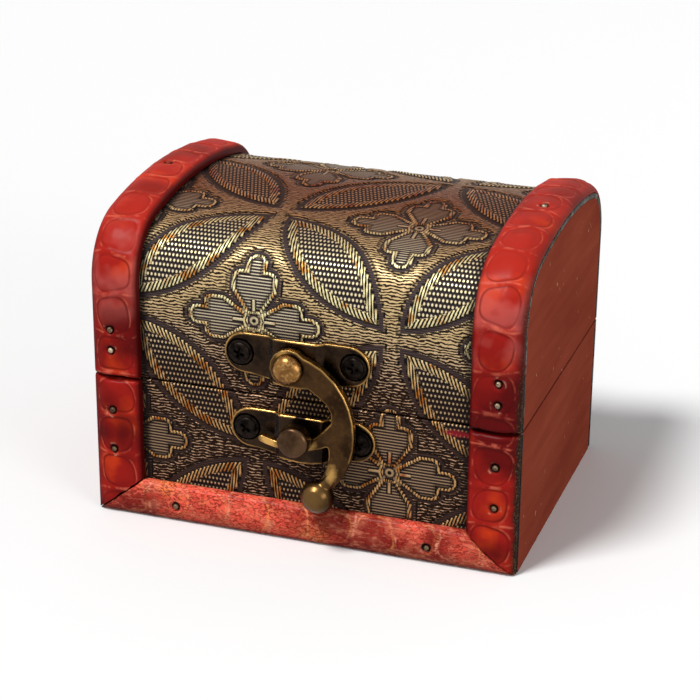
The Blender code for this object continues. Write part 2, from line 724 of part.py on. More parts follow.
def make_latch_fixings(builder):
    """Both latch plates with their screws."""
    rivet_hole = (RIVET_PLACE, RIVET_HEIGHT, RIVET_SHANK_RADIUS + FIT_GAP)
    stud_hole = (STUD_PLACE, STUD_HEIGHT, STUD_NECK_RADIUS + FIT_GAP)
    make_plate(builder, "latch_plate", "lid", (LATCH_PLATE_PLACE, LATCH_PLATE_HEIGHT), rivet_hole)
    make_plate(builder, "catch_plate", "base", (CATCH_PLATE_PLACE, CATCH_PLATE_HEIGHT), stud_hole)
    depth = PLATE_FRONT + POCKET_DEPTH - FIT_GAP
    length = LATCH_SCREW_LENGTH - POCKET_DEPTH
    profile = screw_profile(LATCH_SCREW_HEAD_RADIUS, LATCH_SCREW_HEAD_RISE, LATCH_SCREW_SHANK_RADIUS, length)
    for title, body, points in zip(("latch", "catch"), ("lid", "base"), latch_screw_points()):
        names = [f"{title}_plate_screw_left", f"{title}_plate_screw_right"]
        make_screws(builder, names, body, points, profile, depth, FACING_FRONT)


def dome(radius, rise, low, steps):
    """The points of a low dome from its top to its rim at the low height."""
    points = []
    for step in range(steps + 1):
        angle = math.radians(90 * step / steps)
        points.append((radius * math.sin(angle), low + rise * math.cos(angle)))
    return points


def make_rivet(builder):
    """The rivet: a flange behind the raised plate, a shank through plate and hook, a domed head."""
    flange_front = PLATE_BACK - PLATE_RISE + FIT_GAP
    reach = flange_front - (HOOK_FRONT - FIT_GAP)
    profile = dome(RIVET_HEAD_RADIUS, RIVET_HEAD_RISE, reach, ROUND_STEPS + 1)
    profile += [(RIVET_SHANK_RADIUS, reach), (RIVET_SHANK_RADIUS, 0), (RIVET_FLANGE_RADIUS, 0)]
    profile += [(RIVET_FLANGE_RADIUS, -FLANGE_THICKNESS), (0, -FLANGE_THICKNESS)]
    mesh = turned_mesh(profile, TURNED_STEPS)
    where = at(RIVET_PLACE, flange_front, RIVET_HEIGHT, FACING_FRONT)
    builder.piece("latch_rivet", mesh, "rubbed_brass", "lid", where)


def make_stud(builder):
    """The stud: a flange behind the plate, a thin neck and a deep round head in front."""
    flange_front = PLATE_BACK - PLATE_RISE + FIT_GAP
    reach = flange_front - (HOOK_FRONT - FIT_GAP)
    top = reach + STUD_HEAD_LENGTH
    rim = STUD_HEAD_RADIUS - STUD_EDGE_ROUND
    profile = dome(rim, STUD_DOME_RISE, top, END_ROUND_STEPS)
    profile += arc((rim, top - STUD_EDGE_ROUND), STUD_EDGE_ROUND, 90, 0, END_ROUND_STEPS)[1:]
    profile += [(STUD_HEAD_RADIUS, reach), (STUD_NECK_RADIUS, reach), (STUD_NECK_RADIUS, 0)]
    profile += [(RIVET_FLANGE_RADIUS, 0), (RIVET_FLANGE_RADIUS, -FLANGE_THICKNESS), (0, -FLANGE_THICKNESS)]
    mesh = turned_mesh(profile, TURNED_STEPS)
    where = at(STUD_PLACE, flange_front, STUD_HEIGHT, FACING_FRONT)
    builder.piece("catch_stud", mesh, "antique_brass", "base", where)


def arm_point(degrees, breadth):
    """A point a breadth in from the arm's outer edge, which is an ellipse, along its normal."""
    run = math.cos(math.radians(degrees))
    rise = math.sin(math.radians(degrees))
    outer = Vector((ARM_CENTRE_X + ARM_HALF_WIDTH * run, ARM_CENTRE_Z + ARM_HALF_HEIGHT * rise))
    normal = Vector((ARM_HALF_HEIGHT * run, ARM_HALF_WIDTH * rise)).normalized()
    return outer - normal * breadth


def finger_radii():
    """The finger's upper and lower edges are arcs about the rivet, clear of the stud's neck."""
    reach = math.hypot(STUD_PLACE - RIVET_PLACE, STUD_HEIGHT - RIVET_HEIGHT)
    upper = reach + STUD_NECK_RADIUS + FIT_GAP
    return upper, upper + FINGER_BREADTH


def hook_outline():
    """The hook seen from the front, about the rivet.

    It goes round the head, down the arm's outer edge, back up its inner edge to the finger,
    along the finger's lower edge, round its tip and back along its upper edge to the head.
    """
    upper, lower = finger_radii()
    outline = arc((0, 0), HOOK_HEAD_RADIUS, *HEAD_ARC_DEGREES, SHOULDER_STEPS)
    outline += [tuple(arm_point(degrees, 0)) for degrees in ARM_ANGLES]
    stations = zip(ARM_ANGLES, ARM_BREADTH_SHARES)
    inner = [arm_point(degrees, share * ARM_BREADTH) for degrees, share in stations][::-1]
    root, tip = FINGER_DEGREES
    outline += [tuple(point) for point in inner if point.length > lower]
    outline += arc((0, 0), lower, root, tip, SHOULDER_STEPS)
    middle = (upper + lower) / 2
    tip_angle = math.radians(tip)
    tip_centre = (middle * math.cos(tip_angle), middle * math.sin(tip_angle))
    outline += arc(tip_centre, FINGER_BREADTH / 2, tip, tip - 180, ROUND_STEPS)[1:-1]
    flare_start, flare_end = FINGER_FLARE_DEGREES
    outline += arc((0, 0), upper, tip, flare_start, SHOULDER_STEPS)
    outline += arc((0, 0), upper - FINGER_FLARE, flare_end, flare_end, 1)[:1]
    span = (HOOK_HEAD_RADIUS, upper - 2 * FINGER_FLARE)
    return outline + [tuple(point) for point in inner if span[0] < point.length < span[1]]


def tapering_mesh(points, radii):
    """A round rod along points, with a radius at each."""
    curve = bpy.data.curves.new("rod", "CURVE")
    curve.dimensions = "3D"
    curve.bevel_depth = max(radii)
    curve.bevel_resolution = 2
    curve.use_fill_caps = True
    spline = curve.splines.new("POLY")
    spline.points.add(len(points) - 1)
    for point, place, radius in zip(spline.points, points, radii):
        point.co = (*place, 1)
        point.radius = radius / curve.bevel_depth
    return mesh_of(object_from_mesh("rod", curve, bpy.context.scene.collection))


def hook_neck():
    """The round neck that swells out of the arm's tail and runs into the knob."""
    points = []
    for degrees, rise in zip(NECK_ANGLES, NECK_RISES):
        breadth = ARM_BREADTH * share_between(degrees, ARM_ANGLES, ARM_BREADTH_SHARES)
        across, up = arm_point(degrees, breadth / 2)
        points.append((across, up, rise))
    points.append((KNOB_PLACE, KNOB_DROP, NECK_END_RISE))
    return tapering_mesh(points, (*NECK_RADII, NECK_END_RADIUS))


def share_between(value, stops, shares):
    """The share at a value, in between falling stops."""
    for high, low, high_share, low_share in zip(stops, stops[1:], shares, shares[1:]):
        if low <= value <= high:
            return low_share + (high_share - low_share) * (value - low) / (high - low)
    return shares[-1]


def make_hook(builder):
    """The swing hook: a flat blade with eased edges, bored for the rivet, with a neck and a knob."""
    blade = flat_mesh([hook_outline(), ring((0, 0), RIVET_SHANK_RADIUS + FIT_GAP)], HOOK_THICKNESS)
    where = at(RIVET_PLACE, HOOK_BACK - HOOK_THICKNESS / 2, RIVET_HEIGHT, FACING_FRONT)
    hook = builder.piece("swing_hook", blade, "antique_brass", "hook", where)
    edges = hook.modifiers.new("eased_edges", "BEVEL")
    edges.width = HOOK_EDGE_ROUND
    edges.segments = 2
    edges.limit_method = "ANGLE"
    edges.angle_limit = math.radians(50)
    rise = KNOB_FRONT_RISE - HOOK_THICKNESS
    profile = dome(KNOB_RADIUS, rise, HOOK_THICKNESS, ROUND_STEPS)
    profile += [(KNOB_RADIUS * KNOB_BACK_RADIUS_SHARE, HOOK_EDGE_ROUND), (0, HOOK_EDGE_ROUND)]
    neck = builder.cutter("hook_neck", hook_neck(), at(RIVET_PLACE, HOOK_BACK, RIVET_HEIGHT, FACING_FRONT))
    builder.combine(hook, neck, "UNION")
    where = at(RIVET_PLACE + KNOB_PLACE, HOOK_BACK, RIVET_HEIGHT + KNOB_DROP, FACING_FRONT)
    knob = builder.cutter("hook_knob", turned_mesh(profile, TURNED_STEPS), where)
    builder.combine(hook, knob, "UNION")


def leaf_outline(direction):
    """A leaf and its knuckle seen from the end, with the bore, about the hinge pin.

    The direction is 1 for a leaf that goes up from the pin and -1 for one that goes down.
    """
    back = -KNUCKLE_RADIUS
    face = back + HINGE_LEAF_THICKNESS
    join = math.sqrt(KNUCKLE_RADIUS**2 - face**2)
    start = math.degrees(math.atan2(join, face))
    outline = [(back, HINGE_LEAF_HEIGHT), (face, HINGE_LEAF_HEIGHT), (face, join)]
    outline += arc((0, 0), KNUCKLE_RADIUS, start, -180, TURNED_STEPS)[1:]
    return [[(u, v * direction) for u, v in loop] for loop in (outline, ring((0, 0), PIN_BORE_RADIUS))]


def make_leaf(builder, name, body, centre, direction, drilled):
    """One hinge leaf, notched where the other leaf's knuckles turn, and drilled for its screws."""
    mesh = flat_mesh(leaf_outline(direction), HINGE_WIDTH)
    where = at(centre, HINGE_AXIS_Y, SEAM_HEIGHT, FACING_SIDE)
    leaf = builder.piece(name, mesh, "antique_brass", body, where)
    notch_half = KNUCKLE_RADIUS + FIT_GAP
    middle = MIDDLE_KNUCKLE_WIDTH / 2
    if direction > 0:
        outer = HINGE_WIDTH / 2 + OVERRUN
        spans = [(-outer, -middle), (middle, outer)]
    else:
        spans = [(-middle - FIT_GAP, middle + FIT_GAP)]
    for index, (low, high) in enumerate(spans):
        notch = flat_mesh([box_outline(low, -notch_half, high, notch_half)], 2 * (KNUCKLE_RADIUS + OVERRUN))
        where = at(centre, HINGE_AXIS_Y, SEAM_HEIGHT, FACING_FRONT)
        cutter = builder.cutter(f"{name}_notch_{index}", notch, where)
        builder.combine(leaf, cutter, "DIFFERENCE")
    builder.combine(leaf, drilled, "DIFFERENCE")


def make_hinges(builder, drills):
    """The two butt hinges, each of two leaves and a headed pin, with their screws."""
    half = HINGE_WIDTH / 2
    seat = half + FIT_GAP
    end = seat + HINGE_PIN_HEAD_LENGTH
    half_pin = [(0, end), (HINGE_PIN_HEAD_RADIUS, end), (HINGE_PIN_HEAD_RADIUS, seat), (HINGE_PIN_RADIUS, seat)]
    pin_profile = half_pin + [(radius, -height) for radius, height in reversed(half_pin)]
    for name, side in (("left", -1), ("right", 1)):
        centre = side * HINGE_PLACE
        make_leaf(builder, f"hinge_{name}_lid_leaf", "lid", centre, 1, drills["lid_back"])
        make_leaf(builder, f"hinge_{name}_base_leaf", "base", centre, -1, drills["base_back"])
        pin = turned_mesh(pin_profile, SMALL_TURNED_STEPS)
        where = at(centre, HINGE_AXIS_Y, SEAM_HEIGHT, FACING_SIDE)
        builder.piece(f"hinge_{name}_pin", pin, "antique_brass", "base", where)
    profile = screw_profile(
        HINGE_SCREW_HEAD_RADIUS, HINGE_SCREW_HEAD_RISE, HINGE_SCREW_SHANK_RADIUS, HINGE_SCREW_LENGTH
    )
    sides = [f"{name}_{place}" for name in ("left", "right") for place in ("left", "right")]
    for body, points in zip(("lid", "base"), hinge_screw_points()):
        names = [f"hinge_{body}_screw_{side}" for side in sides]
        make_screws(builder, names, body, points, profile, LEAF_FRONT + FIT_GAP, FACING_BACK)


def main():
    """Builds the whole box."""
    clear_scene()
    builder = Builder()
    drills = make_drills(builder)
    make_base_boards(builder, drills)
    make_base_covers(builder, drills)
    make_base_trim(builder)
    make_lid_shell(builder, drills)
    make_lid_trim(builder)
    make_latch_fixings(builder)
    make_rivet(builder)
    make_stud(builder)
    make_hook(builder)
    make_hinges(builder, drills)


main()
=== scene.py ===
"""Looks of a small dome-lid wooden jewellery box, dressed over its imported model.

Lengths are in metres unless a name ends in _mm. The front is at -Y, the origin is the middle of
the underside, and the lid is closed with the hook under its stud.
"""

import logging  # noqa: E402
import math  # noqa: E402
from dataclasses import dataclass  # noqa: E402
from enum import Enum  # noqa: E402
from typing import Callable, Union  # noqa: E402

import bmesh  # noqa: E402
import bpy  # noqa: E402
import numpy as np  # noqa: E402
from mathutils import Matrix, Vector  # noqa: E402
from mathutils.kdtree import KDTree  # noqa: E402

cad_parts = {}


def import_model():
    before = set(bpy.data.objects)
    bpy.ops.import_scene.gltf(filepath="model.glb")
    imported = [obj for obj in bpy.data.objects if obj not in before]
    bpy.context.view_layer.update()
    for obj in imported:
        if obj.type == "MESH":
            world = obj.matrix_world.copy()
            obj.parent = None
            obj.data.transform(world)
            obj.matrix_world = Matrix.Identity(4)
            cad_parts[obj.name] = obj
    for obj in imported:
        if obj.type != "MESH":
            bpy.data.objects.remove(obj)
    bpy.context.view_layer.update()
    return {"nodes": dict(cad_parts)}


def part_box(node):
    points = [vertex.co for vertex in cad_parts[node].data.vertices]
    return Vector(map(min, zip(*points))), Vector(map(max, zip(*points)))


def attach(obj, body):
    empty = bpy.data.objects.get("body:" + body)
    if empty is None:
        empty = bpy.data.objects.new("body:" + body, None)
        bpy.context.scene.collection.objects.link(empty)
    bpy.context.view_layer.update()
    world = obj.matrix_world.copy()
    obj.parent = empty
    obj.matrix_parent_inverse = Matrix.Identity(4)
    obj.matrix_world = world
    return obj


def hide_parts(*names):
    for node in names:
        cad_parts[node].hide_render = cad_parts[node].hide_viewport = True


log = logging.getLogger("jewellery_box")

Piece = bpy.types.Object
Material = bpy.types.Material
Socket = bpy.types.NodeSocket

MILLIMETRES = 1000.0
QUARTER = 90
UPRIGHT = math.radians(QUARTER)
WELD = 0.000002
PRESS_STEPS = 255
TURNED_SMOOTH = math.radians(40)
WHITE = (1.0, 1.0, 1.0, 1.0)


# Numbers that work alike on arrays and on material nodes


class Field:
    """A number that varies over a surface, as an output of a material's nodes."""

    def __init__(self, tree: bpy.types.NodeTree, socket: Socket) -> None:
        """Keeps the tree and the output socket."""
        self.tree = tree
        self.socket = socket

    def through(self, operation: str, *values: "Number") -> "Field":
        """Passes values through one Math node.

        Args:
            operation: The Math node's operation.
            values: Its inputs, in order.

        Returns:
            The node's result.
        """
        node = self.tree.nodes.new("ShaderNodeMath")
        node.operation = operation
        for entry, value in zip(node.inputs, values):
            if isinstance(value, Field):
                self.tree.links.new(value.socket, entry)
            else:
                entry.default_value = float(value)
        return Field(self.tree, node.outputs[0])

    def __add__(self, other: "Number") -> "Field":
        """The sum."""
        return self.through("ADD", self, other)

    def __radd__(self, other: "Number") -> "Field":
        """The sum."""
        return self.through("ADD", other, self)

    def __sub__(self, other: "Number") -> "Field":
        """The difference."""
        return self.through("SUBTRACT", self, other)

    def __rsub__(self, other: "Number") -> "Field":
        """The difference."""
        return self.through("SUBTRACT", other, self)

    def __mul__(self, other: "Number") -> "Field":
        """The product."""
        return self.through("MULTIPLY", self, other)

    def __rmul__(self, other: "Number") -> "Field":
        """The product."""
        return self.through("MULTIPLY", other, self)

    def __truediv__(self, other: "Number") -> "Field":
        """The quotient."""
        return self.through("DIVIDE", self, other)

    def __neg__(self) -> "Field":
        """The opposite."""
        return self.through("MULTIPLY", self, -1)

    def __abs__(self) -> "Field":
        """The size without its sign."""
        return self.through("ABSOLUTE", self)


Number = Union[Field, np.ndarray, float]

# Where a change starts, and where it is full
Levels = tuple[float, float]
# A band's low and high ends, and how soft they are
Span = tuple[float, float, float]
# A noise's scale and detail
Grain = tuple[float, float]
# A noise's scales along three axes, and its detail
Streak = tuple[tuple[float, float, float], float]
# Rows of a swell: its turn with each of two lengths, and its height
Swings = tuple[tuple[float, float, float], ...]
# A place on a section, or two sizes that belong together
Pair = tuple[float, float]
# A place, its reach and its strength
Spot = tuple[float, float, float, float, float]


def least(first: Number, second: Number) -> Number:
    """The smaller of two numbers."""
    if isinstance(first, Field):
        return first.through("MINIMUM", first, second)
    return np.minimum(first, second)


def most(first: Number, second: Number) -> Number:
    """The larger of two numbers."""
    if isinstance(first, Field):
        return first.through("MAXIMUM", first, second)
    return np.maximum(first, second)


def fraction(value: Number) -> Number:
    """What is left of a number over its whole part."""
    return value.through("FRACT", value) if isinstance(value, Field) else value - np.floor(value)


def whole(value: Number) -> Number:
    """A number's whole part."""
    return value.through("FLOOR", value) if isinstance(value, Field) else np.floor(value)


def sine(value: Number) -> Number:
    """The sine of an angle in radians."""
    return value.through("SINE", value) if isinstance(value, Field) else np.sin(value)


def power(value: Number, exponent: float) -> Number:
    """A number raised to a power."""
    return value.through("POWER", value, exponent) if isinstance(value, Field) else value**exponent


def distance(first: Number, second: Number) -> Number:
    """The length of a flat vector."""
    square = first * first + second * second
    return square.through("SQRT", square) if isinstance(square, Field) else np.sqrt(square)


def ramp(value: Number, low: float, high: float) -> Number:
    """Rises from 0 at low to 1 at high, and stays there."""
    return least(most((value - low) / (high - low), 0), 1)


def band(value: Number, low: float, high: float, soft: float) -> Number:
    """1 between low and high, and 0 outside them, with soft edges."""
    half = soft / 2
    return ramp(value, low - half, low + half) * (1 - ramp(value, high - half, high + half))


def wave(value: Number, period: float) -> Number:
    """Swings between 0 and 1 once in each period."""
    return sine(value * (2 * math.pi / period)) * 0.5 + 0.5


def lifted(value: Number, floor: float) -> Number:
    """Rises with a share from a floor to 1."""
    return value * (1 - floor) + floor


def swell(first: Number, second: Number, swings: Swings) -> Number:
    """A slow swell over two lengths: the sum of its swings."""
    return sum(sine(first * turn + second * other) * height for turn, other, height in swings)


# Shapes


@dataclass(frozen=True)
class Arch:
    """The box's end outline: upright walls, a rounded shoulder and a low crown."""

    half_depth: float = 0.0305
    height: float = 0.0600
    shoulder_radius: float = 0.0130
    crown_radius: float = 0.0970

    @property
    def shoulder_y(self) -> float:
        """How far the shoulders' centres are from the middle."""
        return self.half_depth - self.shoulder_radius

    @property
    def crown_z(self) -> float:
        """The height of the crown's centre."""
        return self.height - self.crown_radius

    @property
    def shoulder_z(self) -> float:
        """The height of the shoulders' centres."""
        reach = self.crown_radius - self.shoulder_radius
        return self.crown_z + math.sqrt(reach**2 - self.shoulder_y**2)

    @property
    def shoulder_turn(self) -> float:
        """The angle that a shoulder turns through."""
        return math.atan2(self.shoulder_z - self.crown_z, self.shoulder_y)

    @property
    def crown_turn(self) -> float:
        """The angle that the crown turns through."""
        return math.pi - 2 * self.shoulder_turn

    def run(self, points: np.ndarray) -> np.ndarray:
        """How far along the outer outline each point is, from the table up the front and down the back.

        Args:
            points: Rows of x, y and z.

        Returns:
            The run of each point, in metres.
        """
        y, z = points[:, 1], points[:, 2]
        front = np.where(y < 0, -1.0, 1.0)
        wall = np.clip(z, 0, self.shoulder_z)
        lean = np.arctan2(z - self.shoulder_z, np.abs(y) - self.shoulder_y)
        turned = np.where(z > self.shoulder_z, np.clip(lean, 0, self.shoulder_turn), 0)
        crown_lean = np.arctan2(z - self.crown_z, np.abs(y)) - self.shoulder_turn
        crowned = np.where(z > self.shoulder_z, np.clip(crown_lean, 0, self.crown_turn / 2), 0)
        half = wall + turned * self.shoulder_radius + crowned * self.crown_radius
        side = self.shoulder_z + self.shoulder_turn * self.shoulder_radius
        whole_run = 2 * side + self.crown_turn * self.crown_radius
        return np.where(front < 0, half, whole_run - half)


def choose_only(obj: Piece) -> None:
    """Deselects all and makes one object the selected, active one."""
    bpy.ops.object.select_all(action="DESELECT")
    obj.select_set(True)
    bpy.context.view_layer.objects.active = obj


def edit(obj: Piece) -> None:
    """Opens one object in edit mode with nothing selected."""
    choose_only(obj)
    bpy.ops.object.mode_set(mode="EDIT")
    bpy.ops.mesh.select_all(action="DESELECT")


def leave_edit() -> None:
    """Goes back to object mode."""
    bpy.ops.object.mode_set(mode="OBJECT")


class Part(Enum):
    """What an edit-mode selection picks."""

    VERTICES = "verts"
    EDGES = "edges"
    FACES = "faces"


def pick(obj: Piece, part: Part, test: Callable[[Vector], bool]) -> None:
    """Selects what lies wholly where the test says, in edit mode.

    Args:
        obj: The object in edit mode.
        part: Whether vertices, edges or faces are picked.
        test: Takes a vertex's place, and says whether it counts.
    """
    bpy.ops.mesh.select_all(action="DESELECT")
    bpy.ops.mesh.select_mode(type={"verts": "VERT", "edges": "EDGE", "faces": "FACE"}[part.value])
    work = bmesh.from_edit_mesh(obj.data)
    for item in getattr(work, part.value):
        corners = [item] if part is Part.VERTICES else item.verts
        item.select_set(all(test(corner.co) for corner in corners))
    bmesh.update_edit_mesh(obj.data)


def take_shape(obj: Piece) -> Piece:
    """Applies the object's place, turn and scale to its mesh."""
    choose_only(obj)
    bpy.ops.object.transform_apply(location=True, rotation=True, scale=True)
    return obj


def apply_modifiers(obj: Piece) -> None:
    """Applies every modifier in order."""
    choose_only(obj)
    for modifier in list(obj.modifiers):
        bpy.ops.object.modifier_apply(modifier=modifier.name)


def vertex_places(obj: Piece) -> np.ndarray:
    """The mesh's vertices as rows of x, y and z."""
    places = np.empty(len(obj.data.vertices) * 3, np.float32)
    obj.data.vertices.foreach_get("co", places)
    return places.reshape(-1, 3).astype(float)


def write_measure(obj: Piece, name: str, values: np.ndarray) -> None:
    """Stores one number a vertex, for the materials to read."""
    attribute = obj.data.attributes.new(name, "FLOAT", "POINT")
    attribute.data.foreach_set("value", values.astype(np.float32))


def read_measure(obj: Piece, name: str) -> np.ndarray:
    """Reads back the stored number of each vertex."""
    values = np.empty(len(obj.data.vertices), np.float32)
    obj.data.attributes[name].data.foreach_get("value", values)
    return values.astype(float)


def press_in(obj: Piece, shares: np.ndarray, depth: float) -> None:
    """Presses the surface in along its normals with a Displace modifier, and applies it.

    Args:
        obj: The piece.
        shares: How deep each vertex goes, as a share of the depth.
        depth: The full depth.
    """
    group = obj.vertex_groups.new(name="pressed")
    levels = np.round(np.clip(shares, 0, 1) * PRESS_STEPS).astype(int)
    for level in np.unique(levels):
        if level:
            group.add(np.nonzero(levels == level)[0].tolist(), level / PRESS_STEPS, "REPLACE")
    press = obj.modifiers.new("press", "DISPLACE")
    press.vertex_group = group.name
    press.mid_level = 0
    press.strength = -depth
    apply_modifiers(obj)
    obj.vertex_groups.clear()


def new_object(name: str, data: bpy.types.ID) -> Piece:
    """An object of the data, in the scene."""
    obj = bpy.data.objects.new(name, data)
    bpy.context.scene.collection.objects.link(obj)
    return obj


def copy_piece(obj: Piece, name: str, place: Matrix) -> Piece:
    """A copy with its own mesh, moved by a matrix in its mesh.

    Args:
        obj: What is copied.
        name: The copy's name.
        place: The matrix that moves the copy's mesh.

    Returns:
        The copy.
    """
    copy = obj.copy()
    copy.data = obj.data.copy()
    copy.data.transform(place)
    copy.name = name
    bpy.context.scene.collection.objects.link(copy)
    return copy


def discard(obj: Piece) -> None:
    """Removes a helper object."""
    bpy.data.objects.remove(obj)


def seat(obj: Piece, name: str, body: str, replaced: str) -> None:
    """Names a finished piece and joins it to the frame.

    Args:
        obj: The finished piece.
        name: Its name.
        body: The body that it rides on.
        replaced: The node that it stands for.
    """
    obj.name = name
    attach(obj, body)
    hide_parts(replaced)
    log.info("%s: %d faces, on %s", name, len(obj.data.polygons), body)


# Material building


Colour = tuple[float, float, float]

# The curve from a screen's colour values to linear light: straight in the darks, and then a power
SCREEN_STEPS = 255
DARK_END = 0.04045
DARK_SLOPE = 12.92
CURVE_OFFSET = 0.055
CURVE_POWER = 2.4


def linear(value: int) -> float:
    """One of a colour's three screen values as linear light.

    Args:
        value: The screen value.

    Returns:
        The share of full light.
    """
    share = value / SCREEN_STEPS
    if share <= DARK_END:
        return share / DARK_SLOPE
    return ((share + CURVE_OFFSET) / (1 + CURVE_OFFSET)) ** CURVE_POWER


def srgb(red: int, green: int, blue: int) -> Colour:
    """A colour as it looks on a screen, in the linear values that the nodes take."""
    return linear(red), linear(green), linear(blue)


class Board:
    """Lays out the nodes of one material."""

    def __init__(self, name: str) -> None:
        """Starts a material with its shader.

        Args:
            name: The material's name.
        """
        self.material = bpy.data.materials.new(name)
        self.material.use_nodes = True
        self.tree = self.material.node_tree
        self.shader = self.tree.nodes["Principled BSDF"]

    def plug(self, value: object, entry: Socket) -> None:
        """Links or sets one input.

        Args:
            value: A field, a socket, a colour or a number.
            entry: The input.
        """
        if isinstance(value, Field):
            self.tree.links.new(value.socket, entry)
        elif isinstance(value, Socket):
            self.tree.links.new(value, entry)
        elif isinstance(value, tuple):
            entry.default_value = (*value, 1)
        else:
            entry.default_value = value

    def measure(self, name: str) -> Field:
        """The number that is stored on the piece's vertices."""
        node = self.tree.nodes.new("ShaderNodeAttribute")
        node.attribute_name = name
        return Field(self.tree, node.outputs["Fac"])

    def coordinates(self, kind: str = "Object") -> tuple[Field, Field, Field]:
        """The three parts of a Texture Coordinate output.

        Args:
            kind: Which coordinates.

        Returns:
            Their three parts.
        """
        source = self.tree.nodes.new("ShaderNodeTexCoord")
        split = self.tree.nodes.new("ShaderNodeSeparateXYZ")
        self.tree.links.new(source.outputs[kind], split.inputs[0])
        return tuple(Field(self.tree, output) for output in split.outputs)

    def vector(self, x: Number, y: Number, z: Number) -> Socket:
        """Three numbers joined into a vector.

        Args:
            x: The first part.
            y: The second part.
            z: The third part.

        Returns:
            The vector.
        """
        node = self.tree.nodes.new("ShaderNodeCombineXYZ")
        for value, entry in zip((x, y, z), node.inputs):
            self.plug(value, entry)
        return node.outputs[0]

    def noise(self, vector: Socket, scale: float, detail: float = 2.0) -> Field:
        """Soft noise between 0 and 1.

        Args:
            vector: Where it is read.
            scale: How many spots fit in one unit.
            detail: How many finer layers it has.

        Returns:
            The noise.
        """
        node = self.tree.nodes.new("ShaderNodeTexNoise")
        self.tree.links.new(vector, node.inputs["Vector"])
        node.inputs["Scale"].default_value = scale
        node.inputs["Detail"].default_value = detail
        return Field(self.tree, node.outputs[0])

    def streaks(
        self, place: tuple[Number, ...], scales: tuple[float, float, float], detail: float
    ) -> Field:
        """Soft noise with its own scale along each axis.

        Args:
            place: The three parts of where it is read.
            scales: How many spots fit in one unit of each.
            detail: How many finer layers it has.

        Returns:
            The noise.
        """
        stretched = [part * scale for part, scale in zip(place, scales)]
        return self.noise(self.vector(*stretched), 1.0, detail)

    def mix(
        self, share: Number, first: object, second: object, blend: str = "MIX"
    ) -> Socket:
        """A colour between two others.

        Args:
            share: 0 for the first, 1 for the second.
            first: A colour or a socket.
            second: A colour or a socket.
            blend: How the second is laid over the first.

        Returns:
            The mixed colour.
        """
        node = self.tree.nodes.new("ShaderNodeMix")
        node.data_type = "RGBA"
        node.blend_type = blend
        colours = [entry for entry in node.inputs if entry.type == "RGBA"]
        self.plug(share, node.inputs[0])
        self.plug(first, colours[0])
        self.plug(second, colours[1])
        return next(output for output in node.outputs if output.type == "RGBA")

    def tone(self, colour: object, share: Number, tone: Colour) -> Socket:
        """A colour multiplied by a tone, by a share of its full strength."""
        return self.mix(share, colour, tone, "MULTIPLY")

    def bump(self, height: Field, depth: float) -> None:
        """Roughens the shading by a height.

        Args:
            height: The height as a share of the depth.
            depth: How deep the relief is.
        """
        node = self.tree.nodes.new("ShaderNodeBump")
        node.inputs["Distance"].default_value = depth
        self.tree.links.new(height.socket, node.inputs["Height"])
        self.tree.links.new(node.outputs[0], self.shader.inputs["Normal"])

    def gloss(self, **settings: float) -> None:
        """Sets plain numbers on the shader, named as its inputs are with underscores for spaces."""
        for name, value in settings.items():
            self.shader.inputs[name.replace("_", " ")].default_value = value

    def finish(
        self, colour: object, roughness: Number, metallic: Number = 0.0
    ) -> Material:
        """Sets the shader's main inputs.

        Args:
            colour: The base colour.
            roughness: How rough it is.
            metallic: How much of it is metal.

        Returns:
            The material.
        """
        self.plug(colour, self.shader.inputs["Base Color"])
        self.plug(roughness, self.shader.inputs["Roughness"])
        self.plug(metallic, self.shader.inputs["Metallic"])
        return self.material


def dress(obj: Piece, material: Material) -> None:
    """Puts one material in all of the object's slots.

    Args:
        obj: The piece.
        material: Its finish.
    """
    if not obj.material_slots:
        obj.data.materials.append(material)
    for place in obj.material_slots:
        place.link = "OBJECT"
        place.material = material


# The embossed sheet


